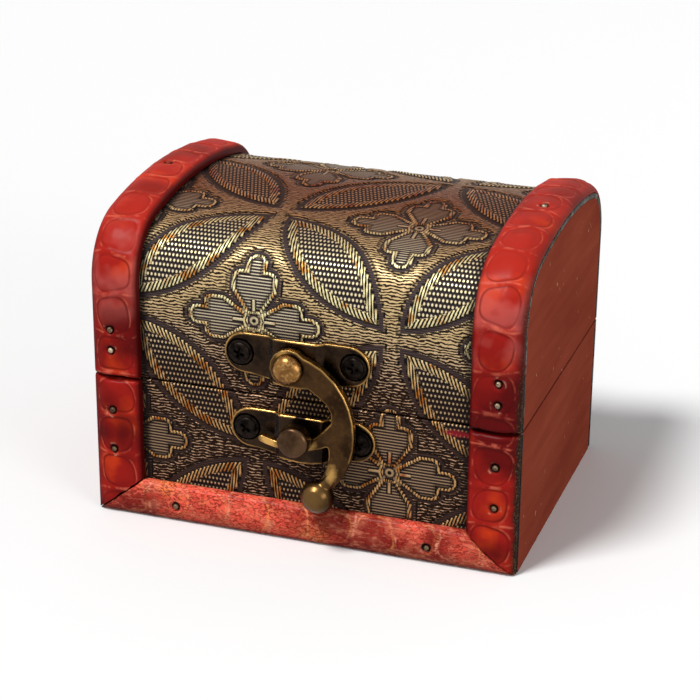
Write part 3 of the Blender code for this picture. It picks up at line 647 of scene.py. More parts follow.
@dataclass(frozen=True)
class Lattice:
    """The sheet's traditional pattern: overlapping rings whose lenses enclose four-petal flowers.

    Every size is in millimetres on the flattened sheet. The same formulas press the relief
    into the mesh and colour the material.
    """

    spacing_mm: float = 25.4
    flower_across_mm: float = -9.2
    flower_run_mm: float = 41.2
    ring_clearance_mm: float = 0.85
    outline_mm: float = 1.50
    border_mm: float = 1.55
    groove_mm: float = 0.30
    thread_mm: tuple[float, float] = (0.24, 0.42)
    cord_mm: float = 0.26
    petal_outline_mm: float = 1.15
    petal_border_mm: float = 0.52
    petal_gap_mm: float = 0.38
    shoulder_reach_mm: float = 7.7
    shoulder_side_mm: float = 2.5
    shoulder_radius_mm: float = 1.6
    lobe_reach_mm: float = 10.5
    lobe_radius_mm: float = 1.85
    lobe_foot_mm: float = 6.0
    root_reach_mm: float = 1.3
    root_side_mm: float = 1.25
    root_slope: float = 0.66
    stem_reach_mm: tuple[float, float] = (1.9, 4.0)
    stem_half_mm: float = 0.17
    stem_gap_mm: float = 0.30
    eye_radius_mm: float = 0.80
    eye_dot_mm: float = 0.30
    ray_reach_mm: tuple[float, float] = (1.2, 3.0)
    ray_half_mm: float = 0.10
    soft_mm: float = 0.16
    ground_depth: float = 0.16
    groove_depth: float = 0.75
    inside_depth: float = 0.42
    petal_depth: float = 0.50

    def folded(self, across: Number, run: Number) -> tuple[Number, Number]:
        """Places measured from the nearest flower, on axes turned by an eighth of a circle.

        Args:
            across: How far across the sheet it is, in millimetres.
            run: How far along the sheet it is, in millimetres.

        Returns:
            The folded place's two lengths.
        """
        side = self.spacing_mm * math.sqrt(2)
        x = (across - self.flower_across_mm) / math.sqrt(2)
        y = (run - self.flower_run_mm) / math.sqrt(2)
        first = (fraction((x + y) / side + 0.5) - 0.5) * side
        second = (fraction((x - y) / side + 0.5) - 0.5) * side
        return first, second

    def lens(self, first: Number, second: Number) -> Number:
        """How far inside a lens a folded place is. It is negative outside.

        Args:
            first: The folded place's first length.
            second: The folded place's second length.

        Returns:
            The millimetres inside the lens.
        """
        side = self.spacing_mm * math.sqrt(2)
        a, b = abs(first), abs(second)
        ring = most(distance(a, b), least(distance(side - a, b), distance(a, side - b)))
        return self.spacing_mm - self.ring_clearance_mm - ring

    def petal(self, first: Number, second: Number) -> tuple[Number, Number, Number]:
        """How far inside a petal a folded place is, with its reach from the eye and its side step.

        Args:
            first: The folded place's first length.
            second: The folded place's second length.

        Returns:
            The three lengths, in millimetres.
        """
        x = abs(first + second) / math.sqrt(2)
        y = abs(first - second) / math.sqrt(2)
        reach, side = most(x, y), least(x, y)
        past_side = most(side - self.shoulder_side_mm, 0)
        beyond = distance(past_side, most(reach - self.shoulder_reach_mm, 0))
        slant = math.hypot(1, self.root_slope)
        flank = (side - self.root_side_mm - (reach - self.root_reach_mm) * self.root_slope) / slant
        body = most(most(flank, beyond - self.shoulder_radius_mm), self.root_reach_mm - reach)
        tip = distance(side, most(reach - self.lobe_reach_mm, 0)) - self.lobe_radius_mm
        lobe = most(tip, self.lobe_foot_mm - reach)
        return self.petal_outline_mm - least(body, lobe), reach, side

    def dark_line(self, inside: Number, width: float) -> Number:
        """A double outline: dark, with one fine light thread in it."""
        low, high = self.thread_mm
        return band(inside, 0, width, self.soft_mm) - band(inside, low, high, self.soft_mm)

    def cord(self, inside: Number, width: float) -> Number:
        """The greyer middle of an outline."""
        return band(inside, self.thread_mm[1], width - self.cord_mm, self.soft_mm)

    def depth(self, across: np.ndarray, run: np.ndarray) -> np.ndarray:
        """How deep the relief is, from 0 on the raised ground to 1 in the outlines.

        Args:
            across: How far across the sheet it is, in millimetres.
            run: How far along the sheet it is, in millimetres.

        Returns:
            The depth of each place.
        """
        first, second = self.folded(across, run)
        lens = self.lens(first, second)
        petal, _, _ = self.petal(first, second)
        border_end = self.outline_mm + self.border_mm
        soft = 2 * self.soft_mm
        outline = band(lens, 0, self.outline_mm, soft)
        groove = band(lens, border_end, border_end + self.groove_mm, soft) * self.groove_depth
        inside = ramp(lens, border_end, border_end + soft) * self.inside_depth
        petal_outline = band(petal, 0, self.petal_outline_mm, soft)
        petal_end = self.petal_outline_mm + self.petal_border_mm
        petal_inside = ramp(petal, petal_end - self.soft_mm, petal_end + self.soft_mm)
        ground = (1 - ramp(most(lens, petal), -soft, 0)) * self.ground_depth
        lens_depth = most(most(outline, groove), most(inside, ground))
        return most(lens_depth, most(petal_outline, petal_inside * self.petal_depth))


@dataclass(frozen=True)
class BrocadeFinish:
    """Gold and bronze threads over a dark warp, in the sheet's pattern.

    Heights are in metres, and lengths on the sheet in millimetres. The crown is painted browner
    than the front as painted shade, the threads from the shoulder up are painted brighter as light,
    and what lies low on the front is painted darker, with finer threads, as painted shade.
    """

    lattice: Lattice = Lattice()
    column_mm: float = 0.385
    lean: float = 0.5
    lean_turn_mm: float = 1.0
    dot_across_mm: float = 0.725
    dot_run_mm: float = 0.98
    dot_flatness: float = 0.74
    dot_levels_mm: Levels = (0.15, 0.27)
    low_dot_shrink_mm: float = 0.04
    stripe_mm: float = 0.565
    stripe_levels: Levels = (0.48, 0.78)
    weft_mm: float = 0.42
    ripple_mm: float = 0.56
    ripple_drift_mm: float = 1.1
    drift_streak: Streak = ((0.55, 0.55, 1.0), 2.0)
    break_streak: Streak = ((1.1, 2.6, 1.0), 3.0)
    crinkle_shares: tuple[float, float, float] = (0.72, 1.7, 0.34)
    crinkle_levels: Levels = (1.40, 1.58)
    stitch_levels: Levels = (0.30, 0.70)
    petal_stitch_levels: Levels = (0.05, 0.35)
    patch_noise: Grain = (0.30, 2.0)
    patch_levels: Levels = (0.53, 0.64)
    worn_streak: Streak = ((0.7, 0.8, 1.0), 2.0)
    worn_levels: Levels = (0.50, 0.75)
    worn_share: float = 0.6
    # Heights of the painted light and shade: threads painted brighter above the first pair, and painted
    # brown shade over the crown above the second.
    light_heights: Levels = (0.0300, 0.0430)
    crown_heights: Levels = (0.0536, 0.0576)
    low_shade_warmth: float = 0.45
    low_dot_share: float = 0.85
    low_stripe_share: float = 0.75
    cord_floor: float = 0.3
    between_share: float = 0.5
    fill_share: float = 0.6
    stem_share: float = 0.8
    ray_share: float = 0.35
    ring_share: float = 0.6
    pale_gold: Colour = srgb(242, 226, 182)
    stitch_gold: Colour = srgb(255, 240, 182)
    warm_gold: Colour = srgb(206, 142, 70)
    ground_light: Colour = srgb(214, 184, 134)
    silver: Colour = srgb(234, 212, 184)
    ground_dark: Colour = srgb(44, 30, 23)
    warp: Colour = srgb(24, 19, 19)
    warp_light: Colour = srgb(72, 61, 66)
    petal_thread: Colour = srgb(214, 200, 168)
    cord_tone: Colour = srgb(84, 70, 70)
    painted_crown_shade: Colour = srgb(158, 96, 54)
    painted_low_shade: Colour = srgb(212, 188, 173)
    rust: Colour = srgb(206, 128, 84)
    raw_edge: Colour = srgb(40, 38, 30)
    edge_speck: Colour = srgb(112, 96, 66)
    edge_noise: Grain = (2600.0, 1.0)
    edge_levels: Levels = (0.55, 0.65)
    edge_shade_heights: Levels = (0.026, 0.046)
    edge_facing: Levels = (0.5, 0.8)
    strip_mm: float = 30.2
    strip_shadow_mm: float = 0.9
    strip_shadow_share: float = 0.75
    smear: Colour = srgb(150, 34, 44)
    smear_place_mm: tuple[float, float] = (28.6, 25.4)
    smear_half_mm: tuple[float, float] = (3.0, 0.8)
    smear_noise: Grain = (1.6, 2.0)
    smear_levels: Levels = (1.0, 1.4)
    smear_raggedness: float = 0.8
    smear_share: float = 0.8
    bump_depth: float = 0.00014
    specular: float = 0.06
    roughness: float = 0.60
    thread_gloss: float = 0.22
    thread_metal: float = 0.28

    def material(self) -> Material:
        """Builds the material.

        Returns:
            The material that the three sheets share.
        """
        board = Board("embossed_brocade")
        across = board.measure("across_mm")
        run = board.measure("run_mm")
        sheet = board.vector(across, run, 0.0)
        _, _, height = board.coordinates()
        # high marks the painted light and shade: from the shoulder up the threads are painted brighter,
        # and low on the front they are painted darker, finer and warmer.
        high = ramp(height, *self.light_heights)
        pattern = self.lattice
        soft = pattern.soft_mm
        threaded = (whole(across / self.column_mm) + 0.5) * self.column_mm
        first, second = pattern.folded(threaded, run)
        lens = pattern.lens(first, second)
        petal, _, _ = pattern.petal(first, second)
        border_end = pattern.outline_mm + pattern.border_mm
        petal_end = pattern.petal_outline_mm + pattern.petal_border_mm
        lens_line = pattern.dark_line(lens, pattern.outline_mm)
        outline = most(lens_line, pattern.dark_line(petal, pattern.petal_outline_mm))
        lens_border = band(lens, pattern.outline_mm, border_end, soft)
        petal_border = band(petal, pattern.petal_outline_mm, petal_end, soft)
        border = most(lens_border, petal_border)
        lens_inside = ramp(lens, border_end, border_end + soft)
        petal_inside = ramp(petal, petal_end, petal_end + soft)
        gap = pattern.petal_gap_mm
        petal_lined = ramp(petal, petal_end + gap / 2, petal_end + 2 * gap)

        # The ground and the outlines
        crinkle = self.crinkle(board, across, run, high)
        ground_thread = board.mix(high, self.silver, self.ground_light)
        colour = board.mix(crinkle, self.ground_dark, ground_thread)
        lens_cord = pattern.cord(lens, pattern.outline_mm)
        cord = most(lens_cord, pattern.cord(petal, pattern.petal_outline_mm))
        cord = cord * lifted(wave(run, self.weft_mm), self.cord_floor)
        colour = board.mix(outline, colour, board.mix(cord, self.warp, self.cord_tone))

        # The stitched borders, whose stitches lean along the lens's edge
        edge_side = ramp(first + second, -self.lean_turn_mm, self.lean_turn_mm) * 2 - 1
        column = wave(across + lens * edge_side * self.lean, 2 * self.column_mm)
        petal_stitch = ramp(column, *self.petal_stitch_levels) * petal_border
        stitch = most(ramp(column, *self.stitch_levels), petal_stitch)
        patches = ramp(board.noise(sheet, *self.patch_noise), *self.patch_levels)
        worn = board.streaks((whole(across / self.column_mm), run, 0.0), *self.worn_streak)
        # Low on the front the stitches are painted warmer, as part of the painted shade there.
        warmth = least(patches + (1 - high) * self.low_shade_warmth, 1)
        gold = board.mix(warmth, self.stitch_gold, self.warm_gold)
        gold = board.mix(ramp(worn, *self.worn_levels) * self.worn_share, gold, self.ground_dark)
        colour = board.mix(border, colour, board.mix(stitch, self.warp, gold))

        # The dotted lenses and the lined petals
        dot = self.dots(across, run, high) * lifted(high, self.low_dot_share)
        between = wave(run + self.dot_run_mm / 2, self.dot_run_mm) * self.between_share
        backing = board.mix(between, self.warp, self.warp_light)
        colour = board.mix(lens_inside, colour, board.mix(dot, backing, self.pale_gold))
        line = ramp(wave(run, self.stripe_mm), *self.stripe_levels) * petal_lined
        line = line * lifted(high, self.low_stripe_share)
        _, reach, side = pattern.petal(*pattern.folded(across, run))
        stem, halo = self.stem(reach, side)
        line = line * (1 - halo)
        fill = board.mix(petal_lined * (1 - halo) * self.fill_share, self.warp, self.warp_light)
        colour = board.mix(petal_inside, colour, board.mix(line, fill, self.petal_thread))
        stem_tone = board.mix(patches, self.pale_gold, self.rust)
        colour = board.mix(stem * self.stem_share, colour, stem_tone)
        thread = self.flower_threads(first, second, reach, side)
        colour = board.mix(thread, colour, self.pale_gold)
        eye_dot = 1 - ramp(distance(reach, side), pattern.eye_dot_mm, pattern.eye_dot_mm + soft)
        colour = board.mix(eye_dot, colour, self.warp)

        # Painted shade on the crown, the low front and beside the strips, a red stain, and the raw
        # edges
        colour = board.tone(colour, ramp(height, *self.crown_heights), self.painted_crown_shade)
        colour = board.tone(colour, 1 - high, self.painted_low_shade)
        # Painted shadow on the sheet beside the strips.
        shade = ramp(abs(across), self.strip_mm - self.strip_shadow_mm, self.strip_mm)
        colour = board.mix(shade * self.strip_shadow_share, colour, self.warp)
        colour = self.smeared(board, colour, sheet, across, run)
        colour = self.edged(board, colour)

        threads = most(stitch * border, dot * lens_inside)
        raised = most(threads, most(line * petal_inside, most(stem, thread)))
        ground = 1 - most(most(outline, lens_inside), most(petal_inside, border))
        relief = most(raised, ground * crinkle)
        board.bump(relief, self.bump_depth)
        board.gloss(Specular_IOR_Level=self.specular)
        roughness = self.roughness - relief * self.thread_gloss
        return board.finish(colour, roughness, relief * self.thread_metal)

    def crinkle(self, board: Board, across: Field, run: Field, high: Field) -> Field:
        """The ground's broken ripples, as a share of light thread, with less of it low down as painted
        shade.

        Args:
            board: The material's board.
            across: How far across the sheet it is, in millimetres.
            run: How far along the sheet it is, in millimetres.
            high: 1 high up the box, and 0 low down.

        Returns:
            The share of light thread.
        """
        drift = board.streaks((across, run, 0.0), *self.drift_streak)
        ripples = wave(run + drift * self.ripple_drift_mm, self.ripple_mm)
        breaks = board.streaks((across, run, 0.0), *self.break_streak)
        rippled, broken, lit = self.crinkle_shares
        return ramp(ripples * rippled + breaks * broken + high * lit, *self.crinkle_levels)

    def dots(self, across: Field, run: Field, high: Field) -> Field:
        """The upright oval dots inside the lenses, staggered row by row and finer low down, which
        paints shade there.

        Args:
            across: How far across the sheet it is, in millimetres.
            run: How far along the sheet it is, in millimetres.
            high: 1 high up the box, and 0 low down.

        Returns:
            The dots' share.
        """
        row = whole(run / self.dot_run_mm)
        shifted = across + row * (self.dot_across_mm / 2)
        dot_across = (fraction(shifted / self.dot_across_mm) - 0.5) * self.dot_across_mm
        dot_run = (fraction(run / self.dot_run_mm) - 0.5) * self.dot_run_mm
        away = distance(dot_across, dot_run * self.dot_flatness)
        return 1 - ramp(away + (1 - high) * self.low_dot_shrink_mm, *self.dot_levels_mm)

    def stem(self, reach: Field, side: Field) -> tuple[Field, Field]:
        """A petal's stem, and the dark gap round it.

        Args:
            reach: How far it is from the flower's eye.
            side: How far it is to the side.

        Returns:
            The shares of both.
        """
        soft = self.lattice.soft_mm
        low, high = self.lattice.stem_reach_mm
        half = self.lattice.stem_half_mm
        thread = band(reach, low, high, soft) * (1 - ramp(side, half, half + soft))
        half += self.lattice.stem_gap_mm
        return thread, (1 - ramp(reach, high, high + soft)) * (1 - ramp(side, half, half + soft))

    def flower_threads(self, first: Field, second: Field, reach: Field, side: Field) -> Field:
        """The rays between the petals and the ring round the eye.

        Args:
            first: The folded place's first length.
            second: The folded place's second length.
            reach: How far it is from the flower's eye.
            side: How far it is to the side.

        Returns:
            The threads' share.
        """
        pattern = self.lattice
        soft = pattern.soft_mm
        slip = least(abs(first), abs(second))
        ray = band(distance(first, second), *pattern.ray_reach_mm, soft)
        ray = ray * (1 - ramp(slip, pattern.ray_half_mm, pattern.ray_half_mm + soft))
        ring = band(distance(reach, side), pattern.eye_dot_mm, pattern.eye_radius_mm, soft)
        return most(ray * self.ray_share, ring * self.ring_share)

    def smeared(
        self, board: Board, colour: Socket, sheet: Socket, across: Field, run: Field
    ) -> Socket:
        """Adds the smear of red stain beside the right strip.

        Args:
            board: The material's board.
            colour: The sheet's colour so far.
            sheet: The place on the sheet.
            across: How far across the sheet it is.
            run: How far along the sheet it is.

        Returns:
            The colour with the smear.
        """
        smear_across, smear_run = self.smear_place_mm
        half_across, half_run = self.smear_half_mm
        spread = distance((across - smear_across) / half_across, (run - smear_run) / half_run)
        ragged = spread + board.noise(sheet, *self.smear_noise) * self.smear_raggedness
        share = (1 - ramp(ragged, *self.smear_levels)) * self.smear_share
        return board.mix(share, colour, self.smear)

    def edged(self, board: Board, colour: Socket) -> Socket:
        """Shows the dark speckled backing on the sheet's cut sides, with painted shade that darkens
        them towards the foot.

        Args:
            board: The material's board.
            colour: The sheet's colour so far.

        Returns:
            The colour with the cut sides.
        """
        x, y, z = board.coordinates()
        facing_side, _, _ = board.coordinates("Normal")
        specks = ramp(board.noise(board.vector(x, y, z), *self.edge_noise), *self.edge_levels)
        cut = board.mix(specks, self.raw_edge, self.edge_speck)
        # Painted shade: the cut sides darker towards the foot.
        cut = board.tone(cut, 1 - ramp(z, *self.edge_shade_heights), self.raw_edge)
        return board.mix(ramp(abs(facing_side), *self.edge_facing), colour, cut)


@dataclass
class Covers:
    """The embossed sheet over the lid, and those on the base's front and back."""

    arch: Arch = Arch()
    lattice: Lattice = Lattice()
    width: float = 0.0800
    offset: float = 0.00238
    thickness: float = 0.00085
    still_edge: float = 0.00055
    relief: float = 0.00026
    cell: float = 0.00045
    lid_foot: float = 0.02755
    base_top: float = 0.02705
    base_foot: float = 0.0003

    def upright_grid(self, foot: float, top: float) -> Piece:
        """A fine upright grid on the box's front.

        Args:
            foot: The height of its lower edge.
            top: The height of its upper edge.

        Returns:
            The grid.
        """
        bpy.ops.object.select_all(action="DESELECT")
        middle = (0, -(self.arch.half_depth - self.offset), (foot + top) / 2)
        across = round(self.width / self.cell)
        up = round((top - foot) / self.cell)
        bpy.ops.mesh.primitive_grid_add(
            x_subdivisions=across, y_subdivisions=up, size=1, location=middle, rotation=(UPRIGHT, 0, 0)
        )
        grid = bpy.context.object
        grid.scale = (self.width, top - foot, 1)
        return take_shape(grid)

    def lid_sheet(self) -> Piece:
        """The lid's sheet: a front grid, spun on over the arch and drawn down the back.

        Returns:
            The sheet, before its relief.
        """
        arch = self.arch
        sheet = self.upright_grid(self.lid_foot, arch.shoulder_z)
        edit(sheet)
        pick(sheet, Part.EDGES, lambda place: place.z > arch.shoulder_z - WELD)
        sweep_over(arch, self.offset, self.cell)
        draw_down(arch.shoulder_z - self.lid_foot, self.cell)
        leave_edit()
        return sheet

    def finish_sheet(self, sheet: Piece) -> None:
        """Measures the flat sheet, presses its relief and gives it its thickness.

        Args:
            sheet: The sheet.
        """
        places = vertex_places(sheet)
        across = places[:, 0] * MILLIMETRES
        run = self.sheet_run(places) * MILLIMETRES
        write_measure(sheet, "across_mm", across)
        write_measure(sheet, "run_mm", run)
        to_side = self.width / 2 - np.abs(places[:, 0])
        to_edge = np.min(np.abs(places[:, 2:] - self.edges), axis=1)
        moved = ramp(np.minimum(to_side, to_edge), self.still_edge, 2 * self.still_edge)
        press_in(sheet, self.lattice.depth(across, run) * moved, self.relief)
        solid = sheet.modifiers.new("solid", "SOLIDIFY")
        solid.thickness = self.thickness
        solid.offset = -1
        apply_modifiers(sheet)
        choose_only(sheet)
        bpy.ops.object.shade_smooth()

    @property
    def edges(self) -> np.ndarray:
        """The heights of the sheets' lower and upper edges."""
        return np.array([self.lid_foot, self.base_top, self.base_foot])

    def sheet_run(self, places: np.ndarray) -> np.ndarray:
        """How far along the sheet each vertex is, on the sheet's own smaller arch.

        Args:
            places: Rows of x, y and z.

        Returns:
            The run of each vertex, in metres.
        """
        inner = Arch(
            self.arch.half_depth - self.offset,
            self.arch.height - self.offset,
            self.arch.shoulder_radius - self.offset,
            self.arch.crown_radius - self.offset,
        )
        return inner.run(places)

    @property
    def lid_length(self) -> float:
        """The length of the lid's sheet when it lies flat."""
        arch = self.arch
        over = 2 * (arch.shoulder_radius - self.offset) * arch.shoulder_turn
        over += (arch.crown_radius - self.offset) * arch.crown_turn
        return 2 * (arch.shoulder_z - self.lid_foot) + over

    def build(self, material: Material) -> None:
        """Args:
            material: The sheets' finish.
        """
        lid = self.lid_sheet()
        front = self.upright_grid(self.base_foot, self.base_top)
        back = copy_piece(front, "back", Matrix.Rotation(math.pi, 4, "Z"))
        low_length = self.base_top - self.base_foot
        rows = (
            (lid, "lid", "lid", self.lid_length, "lid_curved_board"),
            (front, "base_front", "base", low_length, "base_front_board"),
            (back, "base_back", "base", low_length, "base_back_board"),
        )
        for sheet, name, body, length, under in rows:
            self.finish_sheet(sheet)
            dress(sheet, material)
            seat(sheet, f"{name}_embossed_sheet", body, f"{name}_cover")


def sweep_over(arch: Arch, offset: float, step: float) -> None:
    """Spins the selected edges over the front shoulder, the crown and the back shoulder.

    Args:
        arch: The outline that is followed.
        offset: How far inside the outline the edges are.
        step: The length of each new face.
    """
    shoulder = (arch.shoulder_radius - offset) * arch.shoulder_turn
    crown = (arch.crown_radius - offset) * arch.crown_turn
    turns = (
        (shoulder, arch.shoulder_turn, (0, -arch.shoulder_y, arch.shoulder_z)),
        (crown, arch.crown_turn, (0, 0, arch.crown_z)),
        (shoulder, arch.shoulder_turn, (0, arch.shoulder_y, arch.shoulder_z)),
    )
    for length, angle, centre in turns:
        bpy.ops.mesh.spin(steps=round(length / step), angle=angle, center=centre, axis=(1, 0, 0))


def draw_down(length: float, step: float) -> None:
    """Extrudes the selected edges down in even steps, or up where the length is negative."""
    steps = round(abs(length) / step)
    for _ in range(steps):
        bpy.ops.mesh.extrude_region_move(TRANSFORM_OT_translate={"value": (0, 0, -length / steps)})


# The trim strips


@dataclass(frozen=True)
class Scales:
    """The strips' embossed scales: uneven rounded cells in a row, with a raised fold between them.

    A place is given by its girth, in millimetres round the strip's section from the outer edge,
    and by its count of cells along the strip. Out is 0 in a cell's middle and 1 at its rim.
    """

    pitch_mm: float = 7.7
    centre_mm: float = 5.6
    half_across_mm: float = 3.3
    half_along_mm: float = 3.35
    squareness: float = 3.0
    fold_mm: float = 0.34
    sway_mm: float = 0.32
    slow_swings: Swings = ((0.31, 0.30, 1.0), (0.83, -0.22, 0.4))
    cross_swings: Swings = ((0.37, 0.55, 1.0), (-0.53, 1.1, 0.3))
    groove_depth: float = 0.13
    hollow_depth: float = 0.15
    wrinkle_depth: float = 0.07
    face_girth_mm: Span = (1.2, 9.9, 1.2)
    rim_out: Span = (0.90, 1.04, 0.12)
    hollow_out: Levels = (0.35, 0.95)
    outside: Levels = (0.90, 1.05)
    crease_mm: float = 1.7
    crease_swings: Swings = ((0.55, 0.0, 0.8),)
    creased_swings: Swings = ((0.83, 0.4, 1.0),)
    creased_levels: Levels = (0.1, 0.8)

    def swayed(self, girth: Number, count: Number) -> tuple[Number, Number]:
        """The girth and count with the skin's slow unevenness.

        Args:
            girth: The place's girth, in millimetres.
            count: Its count of cells.

        Returns:
            Both, moved by the swells.
        """
        along = count * self.pitch_mm
        slow = swell(along, girth, self.slow_swings)
        cross = swell(along, girth, self.cross_swings)
        return girth + slow * self.sway_mm, count + cross * (self.sway_mm / self.pitch_mm)

    def cell(self, girth: Number, count: Number) -> tuple[Number, Number]:
        """How far out in its cell a place is, and how many millimetres from the next fold.

        Args:
            girth: The place's girth, in millimetres.
            count: Its count of cells.

        Returns:
            The two measures.
        """
        girth, count = self.swayed(girth, count)
        along = abs(fraction(count) - 0.5) * self.pitch_mm
        across = abs(girth - self.centre_mm)
        spread = power(across / self.half_across_mm, self.squareness)
        stretch = power(along / self.half_along_mm, self.squareness)
        return power(spread + stretch, 1 / self.squareness), self.pitch_mm / 2 - along

    def face(self, girth: Number) -> Number:
        """1 on the strip's face, and 0 on its sides and back."""
        return band(girth, *self.face_girth_mm)

    def depth(self, girth: np.ndarray, count: np.ndarray) -> np.ndarray:
        """How deep the relief is, from 0 on the folds to 1 in a nail's pit.

        Args:
            girth: The place's girth, in millimetres.
            count: Its count of cells.

        Returns:
            The depth of each place.
        """
        out, fold = self.cell(girth, count)
        rim = band(out, *self.rim_out) * self.groove_depth
        hollow = ramp(out, *self.hollow_out) * self.hollow_depth
        on_fold = 1 - ramp(fold, self.fold_mm, self.fold_mm * 3)
        lowered = 1 - on_fold * ramp(out, *self.outside)
        along = count * self.pitch_mm
        creases = wave(girth + swell(along, girth, self.crease_swings), self.crease_mm)
        creases = creases * ramp(swell(along, girth, self.creased_swings), *self.creased_levels)
        return ((rim + hollow) * lowered + creases * self.wrinkle_depth) * self.face(girth)


@dataclass(frozen=True)
class LeatherclothFinish:
    """Red scale-embossed leathercloth with orange patches, dark hollows, pale rubbed folds, and painted
    light and shade: a pinkish highlight on the shoulders, a lighter crown, and dark sides.

    Heights are in metres, and places round the section in millimetres. The same finish with
    cracks is the drier strip at the foot, whose rims are rubbed pale on one side only.
    """

    name: str = "red_scales"
    scales: Scales = Scales()
    red: Colour = srgb(162, 30, 24)
    orange: Colour = srgb(200, 56, 24)
    crimson: Colour = srgb(86, 8, 10)
    pale: Colour = srgb(222, 108, 84)
    crown_light_red: Colour = srgb(214, 62, 42)
    rim: Colour = srgb(86, 8, 10)
    # The strip's sides are painted this dark red, as shade.
    wall: Colour = srgb(72, 8, 10)
    torn: Colour = srgb(196, 150, 122)
    pit: Colour = srgb(40, 14, 10)
    raw_edge: Colour = srgb(40, 28, 20)
    edge_speck: Colour = srgb(96, 76, 50)
    painted_sheen: Colour = srgb(214, 108, 100)
    right_side: Levels = (-0.01, 0.01)
    patch_noise: Grain = (130.0, 3.0)
    patch_levels: Levels = (0.53, 0.68)
    hollow_noise: Grain = (85.0, 2.0)
    hollow_levels: Levels = (0.44, 0.62)
    hollow_share: float = 0.85
    streak_noise: Grain = (520.0, 3.0)
    # A painted pinkish highlight on the shoulders.
    sheen_noise: Grain = (170.0, 2.0)
    sheen_levels: Levels = (0.40, 0.58)
    sheen_heights: Span = (0.0400, 0.0540, 0.0060)
    sheen_share: float = 0.45
    rim_out: Span = (0.92, 1.02, 0.09)
    rim_levels: Levels = (0.40, 0.60)
    rim_floor: float = 0.3
    rim_share: float = 0.70
    one_side: Levels = (0.45, 0.55)
    lip_out: Span = (1.04, 1.12, 0.07)
    lip_levels: Levels = (0.46, 0.62)
    lip_share: float = 0.50
    fold_mm: Levels = (0.05, 0.32)
    fold_levels: Levels = (0.42, 0.60)
    fold_share: float = 0.75
    # The crown is painted a lighter red, as light on the top.
    crown_heights: Levels = (0.0480, 0.0560)
    crown_light_share: float = 0.28
    # The foot of the lid's right strip is painted darker, as shade.
    lid_heights: Levels = (0.0268, 0.0272)
    low_heights: Levels = (0.0350, 0.0460)
    right_foot_shade_share: float = 0.46
    # How much painted shade darkens the strip's outer and inner sides, with less on the crown.
    outer_girth_mm: Levels = (0.6, 2.4)
    outer_share: float = 0.75
    crown_outer_share: float = 0.55
    inner_girth_mm: Levels = (9.3, 10.4)
    inner_share: float = 0.9
    edge_noise: Grain = (2600.0, 1.0)
    edge_levels: Levels = (0.54, 0.66)
    edge_ragged_mm: float = 1.4
    left_edge_mm: float = 0.6
    raw_girth_mm: Levels = (0.9, 1.6)
    raw_heights: Levels = (0.0290, 0.0400)
    # The raw edge's share: wider towards the foot, partly as painted shade, and narrower on the crown.
    raw_share: float = 0.35
    raw_and_shade_foot_share: float = 0.60
    raw_crown_share: float = 0.25
    torn_pit: Span = (0.16, 0.40, 0.14)
    torn_levels: Levels = (0.52, 0.60)
    torn_share: float = 0.5
    pit_ragged: float = 0.7
    pit_levels: Levels = (0.42, 0.62)
    wrinkle_streak: Streak = ((620.0, 620.0, 260.0), 4.0)
    wrinkle_height: float = 0.4
    cracks: float = 0.0
    blotch_streak: Streak = ((330.0, 420.0, 420.0), 4.0)
    blotch_levels: Levels = (0.46, 0.66)
    blotch_share: float = 0.6
    crack_streak: Streak = ((900.0, 1700.0, 1700.0), 4.0)
    crack_levels: Levels = (0.012, 0.05)
    crack_height: float = 0.5
    pale_ragged: float = 0.9
    pale_levels: Levels = (0.42, 0.80)
    pale_share: float = 0.50
    fibre_streak: Streak = ((1100.0, 3000.0, 3000.0), 2.0)
    fibre_levels: Levels = (0.55, 0.66)
    fibre_share: float = 0.5
    bump_depth: float = 0.00012
    coat: float = 0.20
    coat_roughness: float = 0.34
    coat_ior: float = 1.4
    roughness: float = 0.36
    wrinkle_roughness: float = 0.14

    def material(self) -> Material:
        """Builds the material.

        Returns:
            The material of the strips.
        """
        board = Board(self.name)
        girth = board.measure("girth_mm")
        count = board.measure("cells")
        pit = board.measure("pit")
        x, y, z = board.coordinates()
        place = board.vector(x, y, z)
        out, fold = self.scales.cell(girth, count)
        face = self.scales.face(girth)
        on_right = ramp(x, *self.right_side)
        crown = ramp(z, *self.crown_heights)

        # The red, its patches and a painted pinkish highlight on the shoulders
        patches = board.noise(place, *self.patch_noise)
        hollows = ramp(board.noise(place, *self.hollow_noise), *self.hollow_levels)
        streaks = board.noise(place, *self.streak_noise)
        colour = board.mix(ramp(patches, *self.patch_levels), self.red, self.orange)
        colour = board.mix(hollows * self.hollow_share, colour, self.crimson)
        sheen = ramp(board.noise(place, *self.sheen_noise), *self.sheen_levels)
        sheen = band(z, *self.sheen_heights) * sheen
        colour = board.mix(sheen * self.sheen_share, colour, self.painted_sheen)

        # The cells' dark rims, their lips and the pale folds between them
        rim = lifted(ramp(patches, *self.rim_levels), self.rim_floor)
        rim = band(out, *self.rim_out) * face * rim
        if self.cracks:
            rim = rim * ramp(fraction(count), *self.one_side)
        colour = board.mix(rim * self.rim_share, colour, self.rim)
        lip = band(out, *self.lip_out) * face * ramp(streaks, *self.lip_levels)
        colour = board.mix(lip * self.lip_share, colour, self.pale)
        folded = (1 - ramp(fold, *self.fold_mm)) * ramp(out, *self.scales.outside)
        folded = folded * face * ramp(streaks, *self.fold_levels)
        colour = board.mix(folded * self.fold_share, colour, self.pale)

